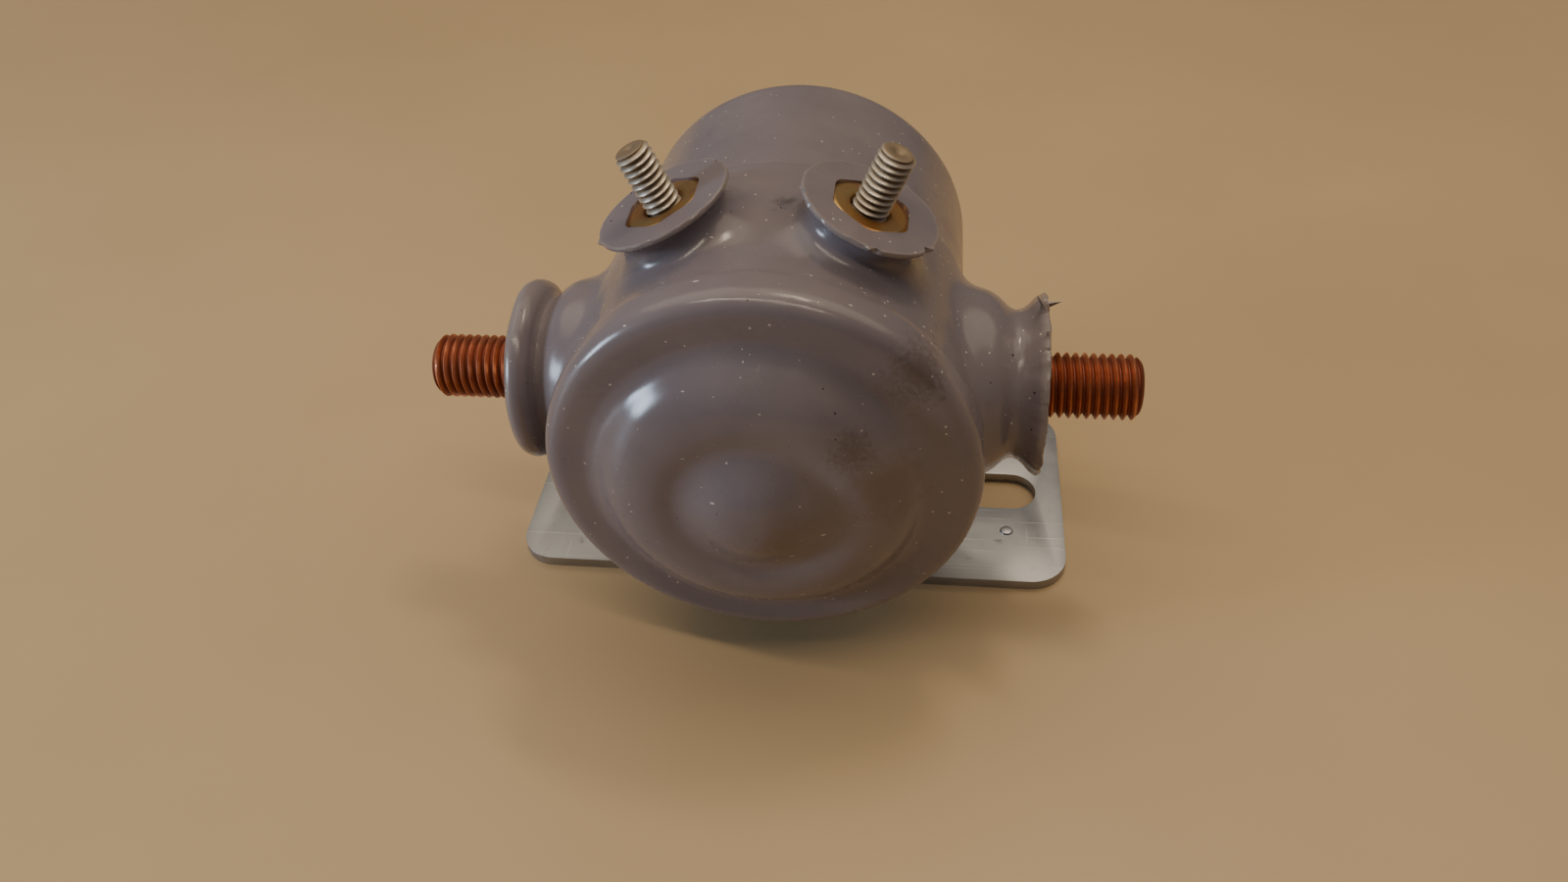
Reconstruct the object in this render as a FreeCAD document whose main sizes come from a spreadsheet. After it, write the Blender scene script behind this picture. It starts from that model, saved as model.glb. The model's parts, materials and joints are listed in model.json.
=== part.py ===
import FreeCAD, Part
import os
import re

import Sketcher

# A plunger contactor: a steel can with a coil, a moulded housing with two copper
# power studs and two coil studs, a stepped steel end cap, and one soft dipped coating
# over all of it, on a flat plate with two mounting slots.
# Frame: origin midway between the two slots on the plate's underside. X runs along
# the power studs, Y along the can (rear is +Y), Z is up. Millimetres.

V = FreeCAD.Vector
Rotation = FreeCAD.Rotation

SIZES = {
    # mounting plate
    "plate_width": 75.6,
    "plate_depth": 34.8,
    "plate_steel": 1.5,
    "plate_corner": 5.0,
    "slot_width": 7.1,
    "slot_length": 14.4,
    "slot_edge": 3.6,           # plate left outside each slot
    "pip_r": 0.9,
    "pip_height": 0.3,
    "pip_side": 7.9,            # pip to the plate's right-hand edge
    "pip_front": 9.35,          # pip to the plate's front edge
    "rim_clear": 6.95,          # coated rim above the mounting surface
    # saddle between plate and can
    "saddle_width": 26.0,
    "saddle_gap": 1.0,          # housing's rear edge to the saddle
    "saddle_inset": 3.3,        # saddle's end to the can's rear
    "saddle_steel": 1.5,
    "saddle_foot": 5.0,
    # coil can
    "can_r": 20.8,
    "can_wall": 1.2,
    "can_mouth": -7.0,
    "can_length": 29.3,
    "can_corner": 3.0,
    # dipped coating
    "coat": 1.5,
    "dry_band": 3.0,            # bare strip of saddle above the plate
    "rim_round": 2.3,
    "crease": 0.8,
    "step_run": 1.6,
    # moulded terminal housing
    "lap_wall": 1.6,            # housing wall outside the can's mouth
    "housing_wall": 3.4,
    "chamber": 20.4,            # depth of the contact chamber
    "web": 1.9,
    "can_lap": 4.0,
    "housing_edge": 1.0,
    "press_gap": 0.05,
    "boss_root": 0.6,           # a boss's foot inside the housing wall
    "overrun": 1.0,             # how far a cutter runs past what it cuts
    # end cap and its gasket
    "gasket": 0.8,
    "cap_steel": 0.8,
    "cap_skirt": 2.3,
    "cap_land": 5.05,           # rim to the foot of the shoulder
    "shoulder_run": 4.4,
    "shoulder_rise": 4.9,
    "nub_inset": 5.2,
    "nub_rise": 2.75,
    # power studs, 5/16 inch
    "power_r": 3.969,
    "power_pitch_r": 3.625,     # thread's pitch radius, where nut and stud meet
    "power_show": 12.44,        # stud beyond its nut
    "power_tip": 0.9,
    "power_boss_rise": 2.7,
    "power_boss_draft": 0.9,
    "power_boss_lip": 0.8,
    "power_nut_af": 12.7,
    "power_nut_thick": 4.76,
    "power_washer_lip": 0.867,
    "power_washer": 1.0,
    "contact_inset": 2.0,
    "contact_room": 2.5,
    "contact_half": 6.0,
    "contact_skin": 0.53,       # copper in front of the stud's shank
    "contact_lip": 0.081,       # copper behind it
    # coating flares round the power studs
    "flare_left_over": 0.14,    # flare beyond the nut's face
    "flare_right_over": 0.84,
    "flare_left_lip": 2.17,
    "flare_right_lip": 2.57,
    "flare_neck": 3.3,          # washer seat to the narrowest place
    "flare_edge": 0.7,
    # coil studs, number 8
    "coil_stud_r": 2.083,
    "coil_pitch_r": 1.825,
    "coil_show": 7.2,           # stud beyond its nut
    "coil_tip": 0.5,
    "coil_angle": 24.0,
    "coil_offset": 2.5,         # coil studs in front of the power studs
    "coil_boss_rise": 1.4,
    "coil_boss_lip": 0.16,
    "coil_nut_af": 8.73,
    "coil_nut_thick": 3.2,
    "coil_washer": 0.8,
    "coil_head_lip": 1.917,
    "coil_head": 1.6,
    "lug_lip": 1.817,
    "lug": 0.45,
    "lead_r": 0.45,
    "lead_inset": 0.7,          # chamber wall to the lead's middle
    "lead_notch": 0.95,
    "lead_clear": 0.55,
    # coating flares round the coil studs
    "coil_flare_over": 0.2,
    "coil_flare_lip": 1.46,
    "coil_flare_edge": 0.6,
    "coil_neck": 1.8,           # washer seat to the narrowest place
    "coil_foot_lip": 1.86,
    "coil_foot_depth": 0.9,
    # magnet
    "flux_plate": 2.5,
    "pole_flange": 1.6,
    "pole_lip": 6.0,
    "plunger_r": 6.0,
    "running_gap": 0.05,
    "sleeve_wall": 0.5,
    "bobbin_wall": 1.1,
    "bobbin_flange": 1.2,
    "bobbin_gap": 1.0,          # flange edge to the can's inner wall
    "winding_step": 1.0,        # winding below the flange edge
    "wrap": 0.5,
    "plunger_inset": 0.5,       # plunger's front behind the can's mouth
    "plunger_length": 13.65,
    "rear_gap": 2.85,
    "spring_pocket_r": 3.4,
    "plunger_pocket": 5.0,
    "pocket_floor": 1.15,
    "pole_pocket": 4.0,
    # moving contact
    "contact_gap": 2.02,
    "disc_room": 4.0,           # disc edge to the chamber wall
    "disc_thick": 2.0,
    "bush_lip": 3.0,
    "bush_flange": 1.5,
    "bush_sleeve": 0.95,
    "front_washer": 1.8,
    # plunger rod
    "rod_r": 2.0,
    "nub_room": 2.15,           # rod's end to the inside of the cap
    "collar_lip": 1.4,
    "collar": 1.1,
    "web_clear": 0.6,
    "clip_lip": 1.6,
    "clip": 0.6,
    "clip_groove": 0.5,
    "clip_back": 1.4,           # rod beyond the clip's rear face
    "clip_gap_half": 1.2,
    "cup_lip": 2.6,
    "cup": 0.8,
    # springs
    "spring_wire_r": 0.4,
    "contact_spring_lip": 1.2,
    "contact_spring_pitch": 1.9,
    "return_spring_pitch": 2.2,
    "pocket_clear": 0.4,
    "spring_seat_gap": 0.1,
}

# Sizes worked out from the ones above, used in many places.
DERIVED = {
    "slot_spacing": "plate_width - 2 * slot_edge - slot_length",
    "coat_line": "plate_steel + dry_band",
    "can_back": "can_mouth + can_length",
    "housing_r": "can_r + lap_wall",
    "bore_r": "housing_r - housing_wall",
    "web_face": "can_mouth - web",
    "housing_front": "web_face - chamber",
    "cap_face": "housing_front - gasket - cap_steel",
    "cap_rim_r": "housing_r + press_gap + cap_steel",
    "cap_tail": "housing_front + cap_skirt",
    "foot_r": "cap_rim_r - cap_land",
    "shoulder_r": "foot_r - shoulder_run",
    "nub_r": "shoulder_r - nub_inset",
    "nub_round": "(nub_r ^ 2 + nub_rise ^ 2) / (2 * nub_rise)",
    "axis_height": "rim_clear + cap_rim_r + coat",
    "saddle_front": "can_mouth + can_lap + saddle_gap",
    "power_plane": "web_face - press_gap - contact_lip - power_r",
    "power_seat": "housing_r + power_boss_rise",
    "power_nut_face": "power_seat + power_washer + power_nut_thick",
    "power_reach": "power_nut_face + power_show",
    "power_corner_r": "power_nut_af / 2 / cos(30)",
    "power_washer_r": "power_corner_r + power_washer_lip",
    "power_boss_r": "power_washer_r + power_boss_lip",
    "power_boss_foot_r": "power_boss_r + power_boss_draft",
    "flare_neck_r": "power_corner_r + coat",
    "flare_neck_at": "power_seat + flare_neck",
    "flare_left_r": "flare_neck_r + flare_left_lip",
    "flare_right_r": "flare_neck_r + flare_right_lip",
    "flare_face_left": "power_nut_face + flare_left_over",
    "flare_face_right": "power_nut_face + flare_right_over",
    "coil_plane": "power_plane - coil_offset",
    "coil_seat": "housing_r + coil_boss_rise",
    "coil_nut_face": "coil_seat + coil_washer + coil_nut_thick",
    "coil_reach": "coil_nut_face + coil_show",
    "coil_washer_r": "coil_nut_af / 2 / cos(30)",
    "coil_boss_r": "coil_washer_r + coil_boss_lip",
    "coil_head_r": "coil_stud_r + coil_head_lip",
    "coil_neck_r": "coil_washer_r + coat",
    "coil_neck_at": "coil_seat + coil_neck",
    "coil_flare_r": "coil_neck_r + coil_flare_lip",
    "coil_flare_face": "coil_nut_face + coil_flare_over",
    "coil_foot_r": "coil_neck_r + coil_foot_lip",
    "coil_foot_at": "housing_r - coil_foot_depth",
    "lug_r": "coil_stud_r + lug_lip",
    "lug_top": "sqrt(bore_r ^ 2 - lug_r ^ 2) - press_gap",
    "lead_radius": "bore_r - lead_inset",
    "lead_notch_r": "lead_r + lead_notch",
    "lead_hole_r": "lead_r + lead_clear",
    "flux_front": "can_mouth",
    "flux_back": "can_mouth + flux_plate",
    "coil_back": "can_back - can_wall - pole_flange",
    "sleeve_in_r": "plunger_r + running_gap",
    "sleeve_out_r": "sleeve_in_r + sleeve_wall",
    "hub_r": "sleeve_out_r + press_gap",
    "bobbin_flange_r": "can_r - can_wall - bobbin_gap",
    "winding_r": "bobbin_flange_r - winding_step",
    "pole_flange_r": "plunger_r + pole_lip",
    "plunger_front": "can_mouth + plunger_inset",
    "plunger_back": "plunger_front + plunger_length",
    "pole_face": "plunger_back + rear_gap",
    "rod_tail": "plunger_back - plunger_pocket - pocket_floor",
    "contact_front": "power_plane - power_r - contact_skin",
    "contact_inner": "bush_r + contact_room",
    "contact_outer": "bore_r - contact_inset",
    "disc_back": "contact_front - contact_gap",
    "disc_front": "disc_back - disc_thick",
    "disc_r": "bore_r - disc_room",
    "bush_r": "rod_r + bush_lip",
    "bush_back": "disc_back + bush_flange",
    "washer_front": "disc_front - front_washer",
    "rod_front": "cap_face + cap_steel - shoulder_rise - nub_rise + nub_room",
    "clip_front": "rod_front + clip_back - clip",
    "collar_r": "rod_r + collar_lip",
    "web_hole_r": "rod_r + web_clear",
    "clip_r": "rod_r + clip_lip",
    "cup_r": "rod_r + cup_lip",
    "contact_spring_r": "rod_r + contact_spring_lip",
    "return_spring_r": "spring_pocket_r - spring_wire_r - pocket_clear",
}

document = FreeCAD.newDocument("contactor")
sheet = document.addObject("Spreadsheet::Sheet", "Sizes")
for row, (name, value) in enumerate(SIZES.items(), start=1):
    sheet.set(f"A{row}", name)
    sheet.set(f"B{row}", str(value))
    sheet.setAlias(f"B{row}", name)
document.recompute()

WORD = re.compile(r"[a-z][a-z0-9_]*")


def bound(text):
    """Turns plain size names into an expression that reads the sheet."""
    def one(match):
        word = match.group(0)
        if word in DERIVED:
            return f"({bound(DERIVED[word])})"
        if word in SIZES:
            return f"Sizes.{word}"
        return word
    return WORD.sub(one, text)


def number(text):
    return float(sheet.evalExpression(bound(text)))


# Rotations that carry a turned part's own Y axis to where the part points.
ALONG = Rotation()
TO_RIGHT = Rotation(V(0, 0, 1), -90)
TO_LEFT = Rotation(V(0, 0, 1), 90)


def leaning(side):
    """Radially outward, the coil studs' angle away from the vertical."""
    tilt = Rotation(V(0, 1, 0), side * number("coil_angle"))
    return tilt.multiply(Rotation(V(1, 0, 0), 90))


def place(thing, rotation, y="0", z="axis_height", x="0"):
    thing.Placement = FreeCAD.Placement(V(0, 0, 0), rotation)
    thing.setExpression(".Placement.Base.x", bound(x))
    thing.setExpression(".Placement.Base.y", bound(y))
    thing.setExpression(".Placement.Base.z", bound(z))
    return thing


def origin_plane(body, role):
    return next(f for f in body.Origin.OriginFeatures if f.Role == role)


def middle_of_arc(first, last, radius, side):
    """Point halfway along a short arc; side 1 keeps its centre on the left."""
    chord = last - first
    left = V(-chord.y, chord.x, 0).normalize()
    reach = max(radius ** 2 - (chord.Length / 2) ** 2, 0) ** 0.5
    centre = (first + last) * 0.5 + left * reach * side
    return centre - left * radius * side


def outline(body, role, steps):
    """A closed sketch. A step is (u, v), or (u, v, radius, side) for an arc to it."""
    sketch = body.newObject("Sketcher::SketchObject", "Outline")
    sketch.AttachmentSupport = [(origin_plane(body, role), "")]
    sketch.MapMode = "FlatFace"
    points = [V(number(step[0]), number(step[1]), 0) for step in steps]
    starts = []
    ends = []
    for index, point in enumerate(points):
        following = steps[(index + 1) % len(steps)]
        target = points[(index + 1) % len(steps)]
        if len(following) == 2:
            edge = sketch.addGeometry(Part.LineSegment(point, target), False)
        else:
            radius = number(following[2])
            middle = middle_of_arc(point, target, radius, following[3])
            edge = sketch.addGeometry(Part.Arc(point, middle, target), False)
        turned_round = sketch.getPoint(edge, 1).distanceToPoint(point) > 1e-6
        starts.append((edge, 2 if turned_round else 1))
        ends.append((edge, 1 if turned_round else 2))
    for index, start in enumerate(starts):
        end = ends[index - 1]
        sketch.addConstraint(Sketcher.Constraint("Coincident", *end, *start))
    for start, step, point in zip(starts, steps, points):
        for kind, text, size in (("DistanceX", step[0], point.x), ("DistanceY", step[1], point.y)):
            tie = sketch.addConstraint(Sketcher.Constraint(kind, *start, size))
            sketch.setExpression(f"Constraints[{tie}]", bound(text))
    for index, step in enumerate(steps):
        if len(step) > 2:
            edge = starts[index - 1][0]
            tie = sketch.addConstraint(Sketcher.Constraint("Radius", edge, number(step[2])))
            sketch.setExpression(f"Constraints[{tie}]", bound(step[2]))
    return sketch


def turned(label, steps, rotation=ALONG, y="0"):
    """A body turned about its own Y axis; each step is (radius, distance along)."""
    body = document.addObject("PartDesign::Body", label)
    sketch = outline(body, "XY_Plane", steps)
    turn = body.newObject("PartDesign::Revolution", "Turn")
    turn.Profile = sketch
    turn.ReferenceAxis = (sketch, ["V_Axis"])
    turn.Angle = 360
    return place(body, rotation, y)


def tube(label, inner, outer, low, high, rotation=ALONG, y="0"):
    """A round tube, or a solid disc where inner is 0."""
    steps = [(inner, low), (outer, low), (outer, high), (inner, high)]
    return turned(label, steps, rotation, y)


def box(label, x, y, z):
    """A block between pairs of coordinates, each a (low, high) pair of sizes."""
    block = document.addObject("Part::Box", label)
    for name, (low, high) in zip(("Length", "Width", "Height"), (x, y, z)):
        block.setExpression(name, bound(f"{high} - ({low})"))
    return place(block, Rotation(), y[0], z[0], x[0])


def hexagon(label, across_flats, low, high, rotation, y):
    """A hexagonal bar along the given direction, between two distances."""
    prism = document.addObject("Part::Prism", label)
    prism.Polygon = 6
    prism.setExpression("Circumradius", bound(f"{across_flats} / 2 / cos(30)"))
    prism.setExpression("Height", bound(f"{high} - ({low})"))
    upright = rotation.multiply(Rotation(V(1, 0, 0), -90))
    outward = upright.multVec(V(0, 0, 1))
    prism.Placement = FreeCAD.Placement(V(0, 0, 0), upright)
    prism.setExpression(".Placement.Base.x", bound(f"{outward.x:.12f} * ({low})"))
    prism.setExpression(".Placement.Base.y", bound(y))
    prism.setExpression(".Placement.Base.z", bound(f"axis_height + {outward.z:.12f} * ({low})"))
    return prism


def fuse(label, *pieces):
    joined = document.addObject("Part::MultiFuse", label)
    joined.Shapes = list(pieces)
    joined.Refine = True
    return joined


def cut(label, base, *tools):
    taken = document.addObject("Part::Cut", label)
    taken.Base = base
    taken.Tool = tools[0] if len(tools) == 1 else fuse(label + "_tools", *tools)
    taken.Refine = True
    return taken


def coil_spring(label, mean_r, pitch, low, high):
    """A round-wire helix about the contactor's axis between two distances."""
    body = document.addObject("PartDesign::Body", label)
    sketch = body.newObject("Sketcher::SketchObject", "Wire")
    sketch.AttachmentSupport = [(origin_plane(body, "XY_Plane"), "")]
    sketch.MapMode = "FlatFace"
    wire = Part.Circle(V(number(mean_r), 0, 0), V(0, 0, 1), number("spring_wire_r"))
    ring = sketch.addGeometry(wire, False)
    for kind, text, where in (("DistanceX", mean_r, 3), ("DistanceY", "0", 3)):
        tie = sketch.addConstraint(Sketcher.Constraint(kind, ring, where, number(text)))
        sketch.setExpression(f"Constraints[{tie}]", bound(text))
    tie = sketch.addConstraint(Sketcher.Constraint("Radius", ring, number("spring_wire_r")))
    sketch.setExpression(f"Constraints[{tie}]", bound("spring_wire_r"))
    helix = body.newObject("PartDesign::AdditiveHelix", "Coils")
    helix.Profile = sketch
    helix.ReferenceAxis = (sketch, ["V_Axis"])
    helix.Mode = 0
    helix.setExpression("Pitch", bound(pitch))
    slack = "2 * (spring_wire_r + spring_seat_gap)"
    helix.setExpression("Height", bound(f"{high} - ({low}) - {slack}"))
    return place(body, ALONG, f"{low} + spring_wire_r + spring_seat_gap")


# ---------------------------------------------------------------- plate and saddle

def make_mounting_plate():
    """Flat plate with rounded corners, two slots and a small coined pip."""
    body = document.addObject("PartDesign::Body", "plate_blank")
    right = "plate_width / 2"
    back = "plate_depth / 2"
    corner = ("plate_corner", 1)
    outer = [
        (f"{right} - plate_corner", f"0 - {back}"),
        (right, f"plate_corner - {back}", *corner),
        (right, f"{back} - plate_corner"),
        (f"{right} - plate_corner", back, *corner),
        (f"plate_corner - {right}", back),
        (f"0 - {right}", f"{back} - plate_corner", *corner),
        (f"0 - {right}", f"plate_corner - {back}"),
        (f"plate_corner - {right}", f"0 - {back}", *corner),
    ]
    pad = body.newObject("PartDesign::Pad", "Sheet")
    pad.Profile = outline(body, "XY_Plane", outer)
    pad.setExpression("Length", bound("plate_steel"))
    for side in ("0 - ", ""):
        middle = f"{side}slot_spacing / 2"
        half = "(slot_length - slot_width) / 2"
        edge = "slot_width / 2"
        slot = [
            (f"{middle} + {half}", f"0 - {edge}"),
            (f"{middle} + slot_length / 2", "0", edge, 1),
            (f"{middle} + {half}", edge, edge, 1),
            (f"{middle} - {half}", edge),
            (f"{middle} - slot_length / 2", "0", edge, 1),
            (f"{middle} - {half}", f"0 - {edge}", edge, 1),
        ]
        pocket = body.newObject("PartDesign::Pocket", "Slot")
        pocket.Profile = outline(body, "XY_Plane", slot)
        pocket.Type = 1
        pocket.Reversed = True
    place(body, Rotation(), "0", "0")
    pip = document.addObject("Part::Cylinder", "pip")
    pip.setExpression("Radius", bound("pip_r"))
    pip.setExpression("Height", bound("plate_steel / 2 + pip_height"))
    place(pip, Rotation(), "pip_front - plate_depth / 2", "plate_steel / 2",
          "plate_width / 2 - pip_side")
    return fuse("mounting_plate", body, pip)


def saddle_span(extra="0"):
    """The saddle's extent along Y, grown by extra at both ends."""
    return f"saddle_front - ({extra})", f"can_back - saddle_inset + ({extra})"


def make_saddle():
    """Bent strip: two feet on the plate, two legs and a cradle under the can."""
    low, high = saddle_span()
    half = "saddle_width / 2"
    bed = tube("cradle_ring", "can_r", "can_r + saddle_steel", low, high)
    trim = box("cradle_trim", (f"0 - {half}", half), (low, high), ("plate_steel", "axis_height"))
    cradle = document.addObject("Part::Common", "cradle")
    cradle.Base = bed
    cradle.Tool = trim
    parts = [cradle]
    for inner, outer in ((f"{half} - saddle_steel", half), (f"0 - {half}", f"saddle_steel - {half}")):
        parts.append(box("leg", (inner, outer), (low, high), ("plate_steel", "axis_height / 2")))
    foot_top = "plate_steel + saddle_steel"
    for start, end in ((half, f"{half} + saddle_foot"), (f"0 - {half} - saddle_foot", f"0 - {half}")):
        parts.append(box("foot", (start, end), (low, high), ("plate_steel", foot_top)))
    seat = tube("can_seat", "0", "can_r", f"{low} - overrun", f"{high} + overrun")
    return cut("can_saddle", fuse("saddle_strip", *parts), seat)


# ---------------------------------------------------------------- shells

def cap_front(grow):
    """The end cap's stepped front, from the axis out to its rim, grown by a skin."""
    slope = f"tan(22.5) * {grow}"
    top = f"cap_face - shoulder_rise - {grow}"
    return [
        ("0", f"{top} - nub_rise"),
        ("nub_r", top, "nub_round", 1),
        (f"shoulder_r + {slope}", top),
        (f"foot_r + {slope}", f"cap_face - {grow}"),
        (f"cap_rim_r + {grow} - rim_round", f"cap_face - {grow}"),
        (f"cap_rim_r + {grow}", f"cap_face - {grow} + rim_round", "rim_round", 1),
    ]


def body_outline(grow):
    """Cap, housing and can in one closed outline, grown by a skin."""
    rear_r = f"can_r + {grow}"
    round_r = f"can_corner + {grow}"
    return cap_front(grow) + [
        (f"cap_rim_r + {grow}", "cap_tail"),
        (f"housing_r + {grow}", f"cap_tail + {grow} * crease / coat"),
        (f"housing_r + {grow}", "can_mouth + can_lap"),
        (rear_r, f"can_mouth + can_lap + {grow} * step_run / coat"),
        (rear_r, "can_back - can_corner"),
        (f"{rear_r} - ({round_r})", f"can_back + {grow}", round_r, 1),
        ("0", f"can_back + {grow}"),
    ]


def make_can():
    """Drawn steel can, open at its front."""
    return turned("coil_can", [
        ("can_r - can_wall", "can_mouth"),
        ("can_r", "can_mouth"),
        ("can_r", "can_back - can_corner"),
        ("can_r - can_corner", "can_back", "can_corner", 1),
        ("0", "can_back"),
        ("0", "can_back - can_wall"),
        ("can_r - can_corner", "can_back - can_wall"),
        ("can_r - can_wall", "can_back - can_corner", "can_corner - can_wall", -1),
    ])


def make_end_cap():
    """Stepped steel cap whose skirt closes over the housing's front edge."""
    inside = "cap_face + cap_steel"
    bore = "cap_rim_r - cap_steel"
    return turned("end_cap", cap_front("0") + [
        ("cap_rim_r", "cap_tail"),
        (bore, "cap_tail"),
        (bore, f"{inside} + rim_round - cap_steel"),
        (f"{bore} - (rim_round - cap_steel)", inside, "rim_round - cap_steel", -1),
        ("foot_r - tan(22.5) * cap_steel", inside),
        ("shoulder_r - tan(22.5) * cap_steel", f"{inside} - shoulder_rise"),
        ("nub_r", f"{inside} - shoulder_rise"),
        ("0", f"{inside} - shoulder_rise - nub_rise", "nub_round", -1),
    ])


def make_bosses():
    """Solid moulded bosses: two for the power studs, two for the coil studs."""
    foot = "bore_r + boss_root"
    power = [("0", foot), ("power_boss_foot_r", foot), ("power_boss_r", "power_seat"), ("0", "power_seat")]
    bosses = [turned("power_boss", power, way, "power_plane") for way in (TO_LEFT, TO_RIGHT)]
    for side in (-1, 1):
        bosses.append(tube("coil_boss", "0", "coil_boss_r", foot, "coil_seat", leaning(side), "coil_plane"))
    return bosses


def make_housing(bosses):
    """Moulded ring with a rear web; the chamber inside holds the contacts."""
    ring = turned("housing_ring", [
        ("web_hole_r", "web_face"),
        ("bore_r", "web_face"),
        ("bore_r", "housing_front"),
        ("housing_r - housing_edge", "housing_front"),
        ("housing_r", "housing_front + housing_edge"),
        ("housing_r", "can_mouth + can_lap"),
        ("can_r + press_gap", "can_mouth + can_lap"),
        ("can_r + press_gap", "can_mouth"),
        ("web_hole_r", "can_mouth"),
    ])
    drills = [tube("can_socket", "0", "can_r + press_gap", "can_mouth", "can_back")]
    for way in (TO_LEFT, TO_RIGHT):
        drills.append(tube("power_drill", "0", "power_r + press_gap", "contact_outer",
                           "power_seat + overrun", way, "power_plane"))
    for side in (-1, 1):
        drills.append(tube("coil_drill", "0", "coil_stud_r + press_gap", "lug_top", "coil_seat + overrun",
                           leaning(side), "coil_plane"))
        drills.append(lead_hole("web_drill", "lead_hole_r", side, "web_face - lug_r",
                                "can_mouth + press_gap"))
    return cut("terminal_housing", fuse("housing_solid", ring, *bosses), *drills)


def lead_hole(label, radius, side, low, high):
    """A short round bar along Y where a coil lead runs."""
    bar = document.addObject("Part::Cylinder", label)
    bar.setExpression("Radius", bound(radius))
    bar.setExpression("Height", bound(f"{high} - ({low})"))
    bar.Placement = FreeCAD.Placement(V(0, 0, 0), Rotation(V(1, 0, 0), -90))
    bar.setExpression(".Placement.Base.x", bound(f"{side} * lead_radius * sin(coil_angle)"))
    bar.setExpression(".Placement.Base.y", bound(low))
    bar.setExpression(".Placement.Base.z", bound("axis_height + lead_radius * cos(coil_angle)"))
    return bar


# ---------------------------------------------------------------- terminals

def make_power_terminal(side, way):
    """One copper stud with its contact head, plus its washer and jam nut."""
    shank = turned("power_shank", [
        ("0", "contact_inner + overrun"),
        ("power_r", "contact_inner + overrun"),
        ("power_r", "power_seat"),
        ("power_pitch_r", "power_seat"),
        ("power_pitch_r", "power_nut_face + press_gap"),
        ("power_r", "power_nut_face + press_gap"),
        ("power_r", "power_reach - power_tip"),
        ("power_r - power_tip", "power_reach"),
        ("0", "power_reach"),
    ], way, "power_plane")
    reach = ("contact_inner", "contact_outer")
    if way is TO_LEFT:
        reach = ("0 - contact_outer", "0 - contact_inner")
    head = box("power_head", reach, ("contact_front", "web_face - press_gap"),
               ("axis_height - contact_half", "axis_height + contact_half"))
    stud = fuse(f"power_stud_{side}", shank, head)
    washer = tube(f"power_washer_{side}", "power_r + press_gap", "power_washer_r", "power_seat",
                  "power_seat + power_washer", way, "power_plane")
    blank = hexagon("power_hex", "power_nut_af", "power_seat + power_washer", "power_nut_face",
                    way, "power_plane")
    thread = tube("power_thread", "0", "power_pitch_r + press_gap", "power_seat",
                  "power_nut_face + overrun", way, "power_plane")
    return stud, washer, cut(f"power_nut_{side}", blank, thread)


def make_coil_terminal(side, sign):
    """One coil stud with its head, plus its lug, lead, washer and hex nut."""
    way = leaning(sign)
    lug_low = "lug_top - lug"
    stud = turned(f"coil_stud_{side}", [
        ("0", f"{lug_low} - coil_head"),
        ("coil_head_r", f"{lug_low} - coil_head"),
        ("coil_head_r", lug_low),
        ("coil_stud_r", lug_low),
        ("coil_stud_r", "coil_seat"),
        ("coil_pitch_r", "coil_seat"),
        ("coil_pitch_r", "coil_nut_face + press_gap"),
        ("coil_stud_r", "coil_nut_face + press_gap"),
        ("coil_stud_r", "coil_reach - coil_tip"),
        ("coil_stud_r - coil_tip", "coil_reach"),
        ("0", "coil_reach"),
    ], way, "coil_plane")
    bore = "coil_stud_r + press_gap"
    lug = tube(f"coil_lug_{side}", bore, "lug_r", lug_low, "lug_top", way, "coil_plane")
    lead = lead_hole(f"coil_lead_{side}", "lead_r", sign, "coil_plane + lug_r + press_gap", "flux_back")
    washer = tube(f"coil_washer_{side}", bore, "coil_washer_r", "coil_seat",
                  "coil_seat + coil_washer", way, "coil_plane")
    blank = hexagon("coil_hex", "coil_nut_af", "coil_seat + coil_washer", "coil_nut_face",
                    way, "coil_plane")
    thread = tube("coil_thread", "0", "coil_pitch_r + press_gap", "coil_seat",
                  "coil_nut_face + overrun", way, "coil_plane")
    return stud, lug, lead, washer, cut(f"coil_nut_{side}", blank, thread)


# ---------------------------------------------------------------- coating

def power_flare(label, way, face, flare_r):
    """Coating round a power stud: it necks in over the nut and flares at its face."""
    return turned(label, [
        ("0", "bore_r"),
        ("power_boss_foot_r + coat", "bore_r"),
        ("power_boss_r + coat", "power_seat"),
        ("flare_neck_r", "flare_neck_at"),
        (flare_r, f"{face} - flare_edge", f"{face} - flare_edge - flare_neck_at", 1),
        (flare_r, face),
        ("0", face),
    ], way, "power_plane")


def coil_flare(label, side):
    """Coating round a coil stud: a waisted boss with a thin flat flange."""
    lip = "coil_flare_face - coil_flare_edge"
    return turned(label, [
        ("0", "bore_r"),
        ("coil_foot_r", "bore_r"),
        ("coil_foot_r", "coil_foot_at"),
        ("coil_neck_r", "coil_neck_at"),
        ("coil_flare_r", lip, f"{lip} - coil_neck_at", 1),
        ("coil_flare_r", "coil_flare_face"),
        ("0", "coil_flare_face"),
    ], leaning(side), "coil_plane")


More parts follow.
